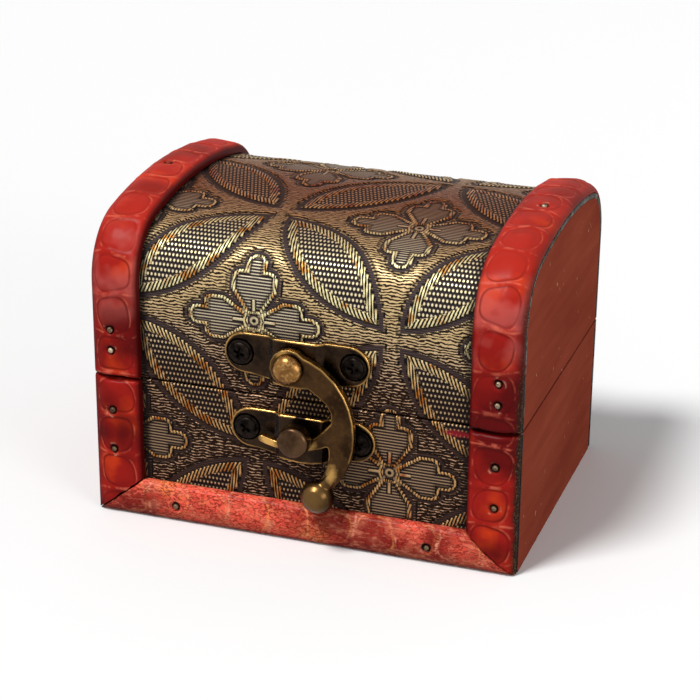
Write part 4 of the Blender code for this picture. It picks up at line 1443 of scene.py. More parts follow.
        # Painted light and shade: the crown painted a lighter red, painted shade at the foot of the
        # lid's right strip and on the strip's two sides
        colour = board.mix(crown * self.crown_light_share, colour, self.crown_light_red)
        low = ramp(z, *self.lid_heights) * (1 - ramp(z, *self.low_heights)) * on_right
        colour = board.mix(low * self.right_foot_shade_share, colour, self.crimson)
        outer = 1 - ramp(girth, *self.outer_girth_mm)
        outer = outer * (self.outer_share - crown * self.crown_outer_share)
        colour = board.mix(outer, colour, self.wall)
        inner = ramp(girth, *self.inner_girth_mm)
        colour = board.mix(inner * self.inner_share, colour, self.wall)

        # The skin's fine wrinkles, and the cracks of the dry strip or the raw edge of the others, whose
        # dark band is partly painted shade: wider towards the foot and narrower on the crown
        wrinkles = board.streaks((x, y, z), *self.wrinkle_streak)
        height = (1 - self.wrinkle_height) + wrinkles * self.wrinkle_height
        if self.cracks:
            colour, height = self.cracked(board, colour, height, (x, y, z))
        else:
            specks = ramp(board.noise(place, *self.edge_noise), *self.edge_levels)
            specks = board.mix(specks, self.raw_edge, self.edge_speck)
            ragged = girth + (streaks - 0.5) * self.edge_ragged_mm
            ragged = ragged + (1 - on_right) * self.left_edge_mm
            foot = 1 - ramp(z, *self.raw_heights)
            share = foot * self.raw_and_shade_foot_share + self.raw_share - crown * self.raw_crown_share
            raw = (1 - ramp(ragged, *self.raw_girth_mm)) * share
            colour = board.mix(raw, colour, specks)

        # The nails' pits, torn round their edges
        torn = band(pit, *self.torn_pit) * ramp(streaks, *self.torn_levels)
        colour = board.mix(torn * self.torn_share, colour, self.torn)
        deep = ramp(pit + (streaks - 0.5) * self.pit_ragged, *self.pit_levels)
        colour = board.mix(deep, colour, self.pit)
        board.bump(height, self.bump_depth)
        board.gloss(
            Specular_IOR_Level=0.0,
            Coat_Weight=self.coat,
            Coat_Roughness=self.coat_roughness,
            Coat_IOR=self.coat_ior,
        )
        return board.finish(colour, self.roughness + wrinkles * self.wrinkle_roughness)

    def cracked(
        self, board: Board, colour: Socket, height: Field, place: tuple[Field, Field, Field]
    ) -> tuple[Socket, Field]:
        """Adds the fine cracks and the pale blotches of the dry strip at the foot.

        Args:
            board: The material's board.
            colour: The skin's colour so far.
            height: The skin's height so far.
            place: The three parts of the place on the piece.

        Returns:
            The colour and the height with the cracks.
        """
        blotches = board.streaks(place, *self.blotch_streak)
        fine = board.streaks(place, *self.crack_streak)
        dark = 1 - ramp(abs(fine - 0.5), *self.crack_levels)
        dark = dark * (1 - ramp(blotches, *self.blotch_levels) * self.blotch_share)
        light = ramp(blotches + (fine - 0.5) * self.pale_ragged, *self.pale_levels)
        colour = board.mix(light * (self.cracks * self.pale_share), colour, self.pale)
        fibres = ramp(board.streaks(place, *self.fibre_streak), *self.fibre_levels)
        colour = board.mix(fibres * self.fibre_share, colour, self.crimson)
        colour = board.mix(dark * self.cracks, colour, self.crimson)
        return colour, height - dark * self.crack_height


@dataclass
class Strips:
    """The eight trim strips: two over the lid and six round the base's front and back.

    A row of cells is its pitch and the run at which one of its folds lies.
    """

    arch: Arch = Arch()
    scales: Scales = Scales()
    half_width: float = 0.0400
    thickness: float = 0.0022
    width: float = 0.00915
    bottom_width: float = 0.0074
    outer_round: float = 0.0040
    inner_round: float = 0.0013
    inner_drop: float = 0.0003
    outer_fineness: float = 1.2
    inner_fineness: float = 1.5
    back_steps: int = 6
    end_round: float = 0.0008
    lid_foot: float = 0.02755
    base_top: float = 0.02705
    mitre_gap: float = 0.00015
    relief: float = 0.00070
    step: float = 0.00034
    pit_radius: float = 0.00095
    pit_reach: Levels = (0.3, 1.7)
    pit_levels: Levels = (0.35, 0.75)
    first_cell: int = 40
    lid_rows: tuple[Pair, Pair] = ((0.0076, 0.0284), (0.00795, 0.0308))
    base_rows: tuple[Pair, Pair] = ((0.0075, 0.0201), (0.00755, 0.0250))
    bottom_row: Pair = (0.0079, -0.0054)
    bottom_relief_share: float = 0.45
    smooth_angle: float = math.radians(50)

    @property
    def seat_y(self) -> float:
        """How far from the middle the strips' flat backs are."""
        return self.arch.half_depth - self.thickness

    def section(self, width: float) -> list[Pair]:
        """The half-round section as (distance in from the outer edge, rise over the seat).

        Args:
            width: The strip's width.

        Returns:
            The outline's points in order.
        """
        outline = []
        steps = round(self.outer_fineness * self.outer_round / self.step)
        for index in range(steps + 1):
            angle = math.radians(QUARTER * index / steps)
            inset = self.outer_round * (1 - math.cos(angle))
            outline.append((inset, self.thickness * math.sin(angle)))
        inner_top = self.thickness - self.inner_drop
        flat_end = width - self.inner_round
        steps = round((flat_end - self.outer_round) / self.step)
        for index in range(1, steps):
            share = index / steps
            inset = self.outer_round + (flat_end - self.outer_round) * share
            outline.append((inset, self.thickness - self.inner_drop * share))
        steps = round(self.inner_fineness * self.inner_round / self.step)
        for index in range(steps + 1):
            angle = math.radians(QUARTER * index / steps)
            inset = flat_end + self.inner_round * math.sin(angle)
            outline.append((inset, inner_top - self.inner_round * (1 - math.cos(angle))))
        back = [(width * (1 - index / self.back_steps), 0) for index in range(self.back_steps)]
        return outline + back

    def girth(self, width: float, inset: np.ndarray, rise: np.ndarray) -> np.ndarray:
        """The length round the section from the outer edge to each place, in metres.

        Args:
            width: The strip's width.
            inset: How far in from the outer edge each is.
            rise: How far over the seat it is.

        Returns:
            The girth of each place.
        """
        outline = np.array(self.section(width))
        lengths = np.concatenate([[0], np.cumsum(np.hypot(*np.diff(outline, axis=0).T))])
        across = outline[None, :, 0] - inset[:, None]
        over = outline[None, :, 1] - rise[:, None]
        return lengths[np.argmin(across**2 + over**2, axis=1)]

    def ring(self, places: list[tuple[float, float, float]]) -> Piece:
        """A closed ring of edges through the places, selected and in edit mode.

        Args:
            places: The ring's corners in order.

        Returns:
            The ring.
        """
        bpy.ops.object.select_all(action="DESELECT")
        bpy.ops.mesh.primitive_circle_add(
            vertices=len(places), radius=self.thickness, fill_type="NOTHING"
        )
        ring = bpy.context.object
        for vertex, place in zip(ring.data.vertices, places):
            vertex.co = place
        edit(ring)
        bpy.ops.mesh.select_all(action="SELECT")
        return ring

    def close_ends(self) -> None:
        """Fills the open ends of the strip in edit mode and turns its faces outwards."""
        bpy.ops.mesh.select_all(action="DESELECT")
        bpy.ops.mesh.select_mode(type="EDGE")
        bpy.ops.mesh.select_non_manifold()
        bpy.ops.mesh.edge_face_add()
        bpy.ops.mesh.select_all(action="SELECT")
        bpy.ops.mesh.normals_make_consistent(inside=False)
        leave_edit()

    def write_places(
        self, strip: Piece, width: float, inset: np.ndarray, rise: np.ndarray, run: np.ndarray
    ) -> None:
        """Stores each vertex's place on the strip.

        Args:
            strip: The strip.
            width: Its width.
            inset: How far each vertex is in from the outer edge.
            rise: How far it stands over the seat.
            run: How far along the strip it is.
        """
        write_measure(strip, "girth_mm", self.girth(width, inset, rise) * MILLIMETRES)
        write_measure(strip, "run", run)

    def lid_strip(self, side: int) -> Piece:
        """A lid strip: its section's ring goes up the front, over the arch and down the back.

        Args:
            side: -1 for the left strip, and 1 for the right.

        Returns:
            The strip.
        """
        foot = self.lid_foot
        outline = self.section(self.width)
        strip = self.ring(
            [(side * (self.half_width - inset), -self.seat_y - rise, foot) for inset, rise in outline]
        )
        height = self.arch.shoulder_z - foot
        draw_down(-height, self.step)
        sweep_over(self.arch, 0, self.step)
        draw_down(height, self.step)
        self.close_ends()
        places = vertex_places(strip)
        inset = self.half_width - side * places[:, 0]
        rise = self.rise_over_seat(places)
        self.write_places(strip, self.width, inset, rise, self.arch.run(places))
        self.tuck(strip, places, foot, 1)
        return strip

    def rise_over_seat(self, places: np.ndarray) -> np.ndarray:
        """How far each place stands over the strips' seat on the arch.

        Args:
            places: Rows of x, y and z.

        Returns:
            The rise of each place.
        """
        arch = self.arch
        depth, z = np.abs(places[:, 1]), places[:, 2]
        wall = depth - arch.half_depth
        shoulder = np.hypot(depth - arch.shoulder_y, z - arch.shoulder_z) - arch.shoulder_radius
        crown = np.hypot(depth, z - arch.crown_z) - arch.crown_radius
        on_crown = np.arctan2(z - arch.crown_z, depth) > arch.shoulder_turn
        over = np.where(z < arch.shoulder_z, wall, np.where(on_crown, crown, shoulder))
        return over + self.thickness

    def tuck(self, strip: Piece, places: np.ndarray, end: float, inwards: int) -> None:
        """Rounds a strip off towards its end, as leathercloth that is folded under.

        Args:
            strip: The strip.
            places: Its vertices' places.
            end: The height of the end.
            inwards: 1 where the strip rises from the end, and -1 where it stops under it.
        """
        short = np.clip(self.end_round - (places[:, 2] - end) * inwards, 0, self.end_round)
        fall = self.end_round - np.sqrt(self.end_round**2 - short**2)
        rise = np.abs(places[:, 1]) - self.seat_y
        out = self.seat_y + rise * (1 - fall / self.thickness)
        places[:, 1] = np.sign(places[:, 1]) * out
        strip.data.vertices.foreach_set("co", places.astype(np.float32).ravel())
        strip.data.update()

    def upright_strip(self, side: int) -> Piece:
        """A strip up the base's front, with its foot cut to the mitre.

        Args:
            side: -1 for the left strip, and 1 for the right.

        Returns:
            The strip.
        """
        outline = self.section(self.width)
        strip = self.ring(
            [(side * (self.half_width - inset), -self.seat_y - rise, 0) for inset, rise in outline]
        )
        draw_down(-self.base_top, self.step)
        self.close_ends()
        self.cut_mitre(strip, side, 1)
        places = vertex_places(strip)
        inset = self.half_width - side * places[:, 0]
        rise = np.abs(places[:, 1]) - self.seat_y
        self.write_places(strip, self.width, inset, rise, places[:, 2])
        self.tuck(strip, places, self.base_top, -1)
        return strip

    def bottom_strip(self) -> Piece:
        """The strip along the base's foot, with both ends cut to the mitre.

        Returns:
            The strip.
        """
        outline = self.section(self.bottom_width)
        strip = self.ring([(-self.half_width, -self.seat_y - rise, inset) for inset, rise in outline])
        steps = round(2 * self.half_width / self.step)
        move = {"value": (2 * self.half_width / steps, 0, 0)}
        for _ in range(steps):
            bpy.ops.mesh.extrude_region_move(TRANSFORM_OT_translate=move)
        self.close_ends()
        for side in (-1, 1):
            self.cut_mitre(strip, side, -1)
        places = vertex_places(strip)
        rise = np.abs(places[:, 1]) - self.seat_y
        self.write_places(strip, self.bottom_width, places[:, 2], rise, places[:, 0])
        return strip

    def cut_mitre(self, strip: Piece, side: int, kept: int) -> None:
        """Cuts a strip along the corner's mitre and closes the cut.

        Args:
            strip: The strip.
            side: The corner's side.
            kept: 1 to keep what is over the mitre, and -1 to keep what is under it.
        """
        towards = Vector((side * self.bottom_width, 0, self.width)).normalized() * kept
        corner = Vector((side * self.half_width, 0, 0)) + towards * self.mitre_gap
        edit(strip)
        bpy.ops.mesh.select_all(action="SELECT")
        bpy.ops.mesh.bisect(plane_co=corner, plane_no=-towards, use_fill=True, clear_outer=True)
        leave_edit()

    def finish_strip(
        self, strip: Piece, row: Pair, nails: list[str], relief_share: float = 1.0
    ) -> None:
        """Counts the cells along a strip, presses its scales and pits, and smooths it.

        Args:
            strip: The strip, in its place.
            row: The pitch of its cells, and the run at which one fold lies.
            nails: The names of its nails.
            relief_share: The share of the scales' depth that this strip has.
        """
        pitch, ridge = row
        count = (read_measure(strip, "run") - ridge) / pitch
        girth = read_measure(strip, "girth_mm")
        write_measure(strip, "cells", count + self.first_cell)
        depth = self.scales.depth(girth, count) * relief_share
        places = vertex_places(strip)
        pit = np.zeros(len(places))
        for nail in nails:
            low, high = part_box(nail)
            away = np.linalg.norm(places - np.array((low + high) / 2), axis=1) / self.pit_radius
            pit = np.maximum(pit, 1 - ramp(away, *self.pit_reach))
        write_measure(strip, "pit", pit)
        press_in(strip, np.maximum(depth, ramp(pit, *self.pit_levels)), self.relief)
        choose_only(strip)
        bpy.ops.object.shade_smooth_by_angle(angle=self.smooth_angle)

    def build(self, red: Material, pink: Material) -> None:
        """Builds and seats the eight strips.

        Args:
            red: The finish of the lid's and the upright strips.
            pink: The finish of the bottom strips.
        """
        half_turn = Matrix.Rotation(math.pi, 4, "Z")
        sides = (("left", -1), ("right", 1))
        for (name, side), row in zip(sides, self.lid_rows):
            strip = self.lid_strip(side)
            nails = [f"lid_nail_front_{name}_low", f"lid_nail_front_{name}_high"]
            nails += [f"lid_nail_crown_{name}", f"lid_nail_back_{name}"]
            self.finish_strip(strip, row, nails)
            dress(strip, red)
            seat(strip, f"lid_scaled_strip_{name}", "lid", f"lid_trim_{name}")
        rows = []
        for (name, side), row in zip(sides, self.base_rows):
            other = "right" if name == "left" else "left"
            front = self.upright_strip(side)
            back = copy_piece(front, "back", half_turn)
            front_nails = [f"base_nail_front_{name}_{height}" for height in ("low", "high")]
            rows.append((front, f"front_{name}", row, front_nails, 1.0, red))
            rows.append((back, f"back_{other}", row, [f"base_nail_back_{other}_low"], 1.0, red))
        front = self.bottom_strip()
        back = copy_piece(front, "back", half_turn)
        for face, strip in (("front", front), ("back", back)):
            nails = [f"base_nail_{face}_bottom_{name}" for name, _ in sides]
            share = self.bottom_relief_share
            rows.append((strip, f"{face}_bottom", self.bottom_row, nails, share, pink))
        for strip, title, row, nails, share, material in rows:
            self.finish_strip(strip, row, nails, share)
            dress(strip, material)
            seat(strip, f"base_scaled_strip_{title}", "base", f"base_trim_{title}")


# Wood


@dataclass(frozen=True)
class WoodFinish:
    """Thinly stained wood, with streaks along the grain, open pores, pale dents and scratches."""

    name: str
    light: Colour
    dark: Colour
    speck: Colour
    roughness: float
    speck_share: float
    grain: Streak = ((160.0, 45.0, 420.0), 5.0)
    grain_levels: Levels = (0.30, 0.80)
    cloud: Streak = ((50.0, 28.0, 70.0), 3.0)
    cloud_levels: Levels = (0.42, 0.72)
    stain_share: float = 0.6
    dents: Streak = ((800.0, 800.0, 560.0), 1.0)
    dent_levels: Levels = (0.71, 0.76)
    dented: Streak = ((120.0, 120.0, 120.0), 0.0)
    dented_levels: Levels = (0.50, 0.60)
    scratches: Streak = ((20.0, 1500.0, 110.0), 0.0)
    scratch_levels: Levels = (0.81, 0.85)
    scratched_levels: Levels = (0.56, 0.64)
    scratch_share: float = 0.5
    pore_levels: Levels = (0.5, 0.7)
    pore_height: float = 0.15
    dent_height: float = 0.4
    scratch_height: float = 0.3
    face_height: float = 0.6
    bump_depth: float = 0.00008
    dull_levels: Levels = (0.4, 0.7)
    dull_share: float = 0.12

    def material(self) -> Material:
        """Builds the material.

        Returns:
            The stained wood.
        """
        board = Board(self.name)
        x, y, z = board.coordinates()
        grain = board.streaks((x, y, z), *self.grain)
        cloud = board.streaks((x, y, z), *self.cloud)
        share = ramp(grain, *self.grain_levels) * self.stain_share
        colour = board.mix(share, self.light, self.dark)
        share = ramp(cloud, *self.cloud_levels) * self.stain_share
        colour = board.mix(share, colour, self.dark)
        rare = board.streaks((x, y, z), *self.dented)
        dent = ramp(board.streaks((x, y, z), *self.dents), *self.dent_levels)
        dent = dent * ramp(rare, *self.dented_levels)
        colour = board.mix(dent * self.speck_share, colour, self.speck)
        scratch = ramp(board.streaks((x, y + z, y - z), *self.scratches), *self.scratch_levels)
        scratch = scratch * ramp(rare, *self.scratched_levels)
        share = scratch * (self.speck_share * self.scratch_share)
        colour = board.mix(share, colour, self.speck)
        pores = ramp(grain, *self.pore_levels) * self.pore_height
        height = self.face_height - pores - dent * self.dent_height
        board.bump(height - scratch * self.scratch_height, self.bump_depth)
        board.gloss(Specular_IOR_Level=0.0)
        dull = ramp(grain, *self.dull_levels) * self.dull_share
        return board.finish(colour, self.roughness + dull)


@dataclass
class Boards:
    """The wooden boards. Their nodes are right as they are, and only take their finish."""

    end_boards: tuple[str, ...] = (
        "base_left_end_board", "base_right_end_board", "lid_left_end_board", "lid_right_end_board",
    )
    inner_boards: tuple[str, ...] = (
        "base_floor_board", "base_front_board", "base_back_board", "lid_curved_board",
    )
    stained: WoodFinish = WoodFinish(
        "stained_end_wood", srgb(168, 82, 61), srgb(136, 56, 42), srgb(224, 176, 140), 0.45, 0.8
    )
    inside: WoodFinish = WoodFinish(
        "stained_inner_wood", srgb(104, 54, 38), srgb(72, 34, 24), srgb(150, 104, 76), 0.6, 0.2
    )

    def build(self, nodes: dict[str, Piece]) -> None:
        """Dresses the nodes.

        Args:
            nodes: The frame's nodes by name.
        """
        for names, finish in ((self.end_boards, self.stained), (self.inner_boards, self.inside)):
            material = finish.material()
            for name in names:
                dress(nodes[name], material)
                log.info("%s: stained wood", name)


# Metal


@dataclass(frozen=True)
class BrassFinish:
    """Brass darkened to brown, with its edges painted gold: partly rubbed wear, partly painted
    highlight.

    A rimmed piece stores how far each vertex is from its edge. On the others, what is turned
    away from the front counts as an edge. The wear and highlight spots are gold painted where
    fingers rub and where rounded parts catch a painted highlight: each is its place, its reach
    and its strength.
    """

    name: str
    patina: Colour = srgb(50, 37, 27)
    soot: Colour = srgb(28, 21, 17)
    # The gold of the edges and spots: partly rubbed wear, partly painted highlight.
    gold: Colour = srgb(216, 168, 96)
    mottle: Colour = srgb(86, 62, 38)
    cloud_noise: Grain = (240.0, 3.0)
    soot_levels: Levels = (0.40, 0.60)
    fine_noise: Grain = (1300.0, 3.0)
    mottle_levels: Levels = (0.50, 0.68)
    mottling: float = 0.15
    turned_ragged: float = 0.3
    turned_levels: Levels = (0.46, 0.80)
    rimmed: bool = False
    rim_ragged_mm: float = 0.12
    rim_mm: Levels = (0.12, 0.40)
    worn_noise: Grain = (140.0, 2.0)
    worn_levels: Levels = (0.40, 0.58)
    worn_floor: float = 0.3
    rim_strength: float = 0.95
    wear_and_highlight_spots: tuple[Spot, ...] = ()
    spot_height: float = 0.6
    spot_ragged: float = 0.9
    spot_levels: Levels = (0.3, 1.1)
    cloud_share: float = 0.6
    bump_depth: float = 0.00004
    roughness: float = 0.27
    dull_levels: Levels = (0.4, 0.7)
    dull_share: float = 0.10
    polish: float = 0.04

    def material(self) -> Material:
        """Builds the material.

        Returns:
            The darkened brass.
        """
        board = Board(self.name)
        x, y, z = board.coordinates()
        place = board.vector(x, y, z)
        cloud = board.noise(place, *self.cloud_noise)
        fine = board.noise(place, *self.fine_noise)
        colour = board.mix(ramp(cloud, *self.soot_levels), self.patina, self.soot)
        mottled = ramp(fine, *self.mottle_levels) * self.mottling
        colour = board.mix(mottled, colour, self.mottle)
        # The gold on the edges and the spots is partly wear and partly painted highlight.
        if self.rimmed:
            worn = ramp(board.noise(place, *self.worn_noise), *self.worn_levels)
            worn = lifted(worn, self.worn_floor) * self.rim_strength
            away = board.measure("rim_mm") + (fine - 0.5) * self.rim_ragged_mm
            wear_and_highlight = (1 - ramp(away, *self.rim_mm)) * worn
        else:
            _, facing, _ = board.coordinates("Normal")
            turned = 1 - abs(facing) + (cloud - 0.5) * self.turned_ragged
            wear_and_highlight = ramp(turned, *self.turned_levels)
        for near_x, near_y, near_z, reach, strength in self.wear_and_highlight_spots:
            across = distance(x - near_x, y - near_y)
            away = distance(across, (z - near_z) * self.spot_height) / reach
            away = away + (fine - 0.5) * self.spot_ragged
            wear_and_highlight = most(wear_and_highlight, (1 - ramp(away, *self.spot_levels)) * strength)
        colour = board.mix(wear_and_highlight, colour, self.gold)
        board.bump(fine * (1 - self.cloud_share) + cloud * self.cloud_share, self.bump_depth)
        dull = ramp(fine, *self.dull_levels) * self.dull_share
        return board.finish(colour, self.roughness + dull - wear_and_highlight * self.polish, metallic=1.0)


@dataclass(frozen=True)
class SteelFinish:
    """Plain steel with fine scratches and grime."""

    name: str
    light: Colour
    dark: Colour
    roughness: float
    grime_noise: Grain = (900.0, 3.0)
    grime_levels: Levels = (0.42, 0.62)
    bump_depth: float = 0.00004
    grime_roughness: float = 0.2

    def material(self) -> Material:
        """Builds the material.

        Returns:
            The steel.
        """
        board = Board(self.name)
        x, y, z = board.coordinates()
        grime = board.noise(board.vector(x, y, z), *self.grime_noise)
        colour = board.mix(ramp(grime, *self.grime_levels), self.light, self.dark)
        board.bump(grime, self.bump_depth)
        return board.finish(colour, self.roughness + grime * self.grime_roughness, metallic=1.0)


def turned_piece(middle: Vector, profile: list[Pair], sides: int) -> Piece:
    """A solid turned about the depth axis: a round face, extruded and widened step by step.

    Args:
        middle: Where its axis passes, and the depth that the profile starts from.
        profile: Each step's (radius, distance towards the front).
        sides: How many sides it has.

    Returns:
        The solid.
    """
    radius, start = profile[0]
    bpy.ops.object.select_all(action="DESELECT")
    bpy.ops.mesh.primitive_circle_add(
        vertices=sides, radius=radius, fill_type="NGON",
        location=(middle.x, middle.y - start, middle.z), rotation=(UPRIGHT, 0, 0),
    )
    piece = take_shape(bpy.context.object)
    edit(piece)
    bpy.ops.mesh.select_all(action="SELECT")
    for (old_radius, old_rise), (radius, rise) in zip(profile, profile[1:]):
        bpy.ops.mesh.extrude_region_move(TRANSFORM_OT_translate={"value": (0, old_rise - rise, 0)})
        size = radius / old_radius
        centre = (middle.x, middle.y - rise, middle.z)
        bpy.ops.transform.resize(value=(size, 1, size), center_override=centre)
    bpy.ops.mesh.select_all(action="SELECT")
    bpy.ops.mesh.normals_make_consistent(inside=False)
    leave_edit()
    choose_only(piece)
    bpy.ops.object.shade_smooth_by_angle(angle=TURNED_SMOOTH)
    return piece


def arc(centre: Pair, reach: Pair, sweep: Levels, steps: int) -> list[Pair]:
    """Points on an ellipse's arc.

    Args:
        centre: The ellipse's middle.
        reach: Its two half axes.
        sweep: The arc's start and end, in degrees.
        steps: How many steps it is made of.

    Returns:
        The points.
    """
    points = []
    start, end = sweep
    for index in range(steps + 1):
        angle = math.radians(start + (end - start) * index / steps)
        across = centre[0] + reach[0] * math.cos(angle)
        along = centre[1] + reach[1] * math.sin(angle)
        points.append((across, along))
    return points


@dataclass
class Metalwork:
    """The latch, the hinges, the screws and the nails."""

    weld: float = 0.00002
    flat: float = math.radians(4)
    voxel: float = 0.00013
    smoothing: float = 0.5
    rounding: int = 12
    wall_facing: float = 0.45
    cover_margin: float = 0.0004
    neck_height: float = 0.0105
    # Gold painted on the hook: partly wear, partly painted highlights on the neck, the finger's tip and
    # root, the ring by the rivet and the knob.
    hook_wear_and_highlight_spots: tuple[Spot, ...] = (
        (0.0068, -0.0326, 0.0161, 0.0012, 0.62), (0.0030, -0.0321, 0.0212, 0.0011, 0.35),
        (-0.0051, -0.0321, 0.0206, 0.0022, 0.90),
        (-0.0024, -0.0320, 0.0379, 0.0014, 0.50), (0.0041, -0.0347, 0.0126, 0.0034, 0.13),
    )
    turned_sides: int = 64
    round_steps: int = 7
    head_ease: float = 0.04
    rivet_shank: float = 0.0013
    rivet_rise: float = 0.0019
    rivet_sweep: Levels = (4.0, 88.0)
    stud_neck: float = 0.0010
    stud_length: float = 0.0026
    stud_round: float = 0.0009
    stud_sweep: Levels = (0.0, 74.0)
    stud_dome: float = 0.0004
    stud_dome_shares: tuple[float, ...] = (0.15, 0.3, 0.45, 0.6, 0.75, 0.9, 0.98)
    screw_sides: int = 48
    screw_radius: float = 0.0023
    screw_rise: float = 0.0007
    screw_shank: float = 0.0012
    screw_core: float = 0.45
    screw_steps: tuple[Pair, ...] = ((0.98, 0.0), (1.0, 0.12), (0.87, 0.20))
    screw_dome: Pair = (0.38, 0.75)
    screw_sweep: Levels = (0.0, 80.0)
    screw_smooth: float = math.radians(30)
    screw_turns: tuple[int, ...] = (20, 2, 38, 65, 12, 50, 78, 30, 5, 44, 60, 25)
    recess_half: float = 0.00135
    recess_width: float = 0.00036
    recess_depth: float = 0.00062
    recess_taper: float = 0.55
    unworn_levels: Levels = (1.2, 1.4)

    def welded_copy(self, node: Piece, name: str) -> Piece:
        """A copy of a node with its loose triangles welded and its flat faces joined.

        Args:
            node: The node.
            name: The copy's name.

        Returns:
            The copy.
        """
        piece = new_object(name, node.data.copy())
        edit(piece)
        bpy.ops.mesh.select_all(action="SELECT")
        bpy.ops.mesh.remove_doubles(threshold=self.weld)
        bpy.ops.mesh.normals_make_consistent(inside=False)
        bpy.ops.mesh.dissolve_limited(angle_limit=self.flat)
        leave_edit()
        return piece

    def cast_copy(
        self, node: Piece, name: str, rounding: int, covered: tuple[str, ...], lowest: float
    ) -> Piece:
        """A copy of a node with the soft edges of a small casting.

        Args:
            node: The node.
            name: The copy's name.
            rounding: How many times the skin is smoothed.
            covered: The nodes whose heads cover its holes, which have no gold rim of wear and painted
                highlight.
            lowest: The height under which it has no gold rim of wear and painted highlight.

        Returns:
            The copy.
        """
        piece = self.welded_copy(node, name)
        skin = piece.modifiers.new("skin", "REMESH")
        skin.mode = "VOXEL"
        skin.voxel_size = self.voxel
        soft = piece.modifiers.new("soft", "SMOOTH")
        soft.factor = self.smoothing
        soft.iterations = rounding
        apply_modifiers(piece)
        choose_only(piece)
        bpy.ops.object.shade_smooth()
        self.write_rim(piece, covered, lowest)
        return piece

    def write_rim(self, piece: Piece, covered: tuple[str, ...], lowest: float) -> None:
        """Stores how far each vertex is from the nearest edge wall, in millimetres.

        Args:
            piece: The piece.
            covered: The nodes whose heads cover its holes.
            lowest: The height under which nothing counts as a wall.
        """
        places = vertex_places(piece)
        normals = np.empty(places.size, np.float32)
        piece.data.vertex_normals.foreach_get("vector", normals)
        on_wall = np.abs(normals.reshape(-1, 3)[:, 1]) < self.wall_facing
        on_wall &= places[:, 2] > lowest
        for name in covered:
            low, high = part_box(name)
            middle = (low + high) / 2
            away = np.hypot(places[:, 0] - middle.x, places[:, 2] - middle.z)
            on_wall &= away > (high.x - low.x) / 2 + self.cover_margin
        walls = KDTree(int(on_wall.sum()))
        for index, place in enumerate(places[on_wall]):
            walls.insert(place, index)
        walls.balance()
        away = np.array([walls.find(place)[2] for place in places])
        write_measure(piece, "rim_mm", away * MILLIMETRES)

    def rivet(self) -> Piece:
        """The rivet: a shank and a dome of the node's size.

        Returns:
            The rivet.
        """
        low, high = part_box("latch_rivet")
        radius = (high.x - low.x) / 2
        middle = Vector(((low.x + high.x) / 2, high.y, (low.z + high.z) / 2))
        seat_rise = high.y - low.y - self.rivet_rise
        profile = [(self.rivet_shank, 0), (self.rivet_shank, seat_rise)]
        profile += [(radius * (1 - self.head_ease), seat_rise)]
        steps = 2 * self.round_steps
        profile += arc((0, seat_rise), (radius, self.rivet_rise), self.rivet_sweep, steps)
        return turned_piece(middle, profile, self.turned_sides)

    def stud(self) -> Piece:
        """The stud: a neck and a deep head with rounded edges and a low dome, of the node's size.

        Returns:
            The stud.
        """
        low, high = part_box("catch_stud")
        radius = (high.x - low.x) / 2
        middle = Vector(((low.x + high.x) / 2, high.y, (low.z + high.z) / 2))
        front = high.y - low.y - self.stud_dome
        seat_rise = front - self.stud_length
        profile = [(self.stud_neck, 0), (self.stud_neck, seat_rise)]
        profile += [(radius * (1 - self.head_ease), seat_rise)]
        profile += [(radius, seat_rise + radius * self.head_ease)]
        centre = (radius - self.stud_round, front - self.stud_round)
        profile += arc(centre, (self.stud_round, self.stud_round), self.stud_sweep, self.round_steps)
        edge, rise = profile[-1]
        left = front + self.stud_dome - rise
        profile += [
            (edge * (1 - share), rise + left * share * (2 - share)) for share in self.stud_dome_shares
        ]
        return turned_piece(middle, profile, self.turned_sides)

    def screw(self) -> Piece:
        """A cross-recessed screw head on a short shank, facing the front, with its seat at the origin.

        Returns:
            The screw.
        """
        rise, radius = self.screw_rise, self.screw_radius
        core = radius * self.screw_core
        profile = [(core, -self.screw_shank), (core, 0)]
        profile += [(radius * out, rise * up) for out, up in self.screw_steps]
        out, up = self.screw_dome
        centre = (core, rise * (1 - up))
        profile += arc(centre, (radius * out, rise * up), self.screw_sweep, self.round_steps)
        screw = turned_piece(Vector((0, 0, 0)), profile, self.screw_sides)
        cutter = self.recess()
        cut = screw.modifiers.new("recess", "BOOLEAN")
        cut.operation = "DIFFERENCE"
        cut.object = cutter
        apply_modifiers(screw)
        discard(cutter)
        choose_only(screw)
        bpy.ops.object.shade_smooth_by_angle(angle=self.screw_smooth)
        return screw

    def recess(self) -> Piece:
        """Two crossed tapered bars, which cut the screw's recess.

        Returns:
            The bars as one piece.
        """
        bars = []
        for turn in (0, UPRIGHT):
            bpy.ops.object.select_all(action="DESELECT")
            bpy.ops.mesh.primitive_cube_add(
                size=1, location=(0, -self.screw_rise, 0), rotation=(0, turn, 0)
            )
            bar = bpy.context.object
            bar.scale = (2 * self.recess_half, 2 * self.recess_depth, 2 * self.recess_width)
            take_shape(bar)
            edit(bar)
            pick(bar, Part.FACES, lambda place: place.y > -self.screw_rise)
            bpy.ops.transform.resize(value=(self.recess_taper, 1, self.recess_taper))
            leave_edit()
            bars.append(bar)
        join = bars[0].modifiers.new("join", "BOOLEAN")
        join.operation = "UNION"
        join.object = bars[1]
        apply_modifiers(bars[0])
        discard(bars[1])
        return bars[0]

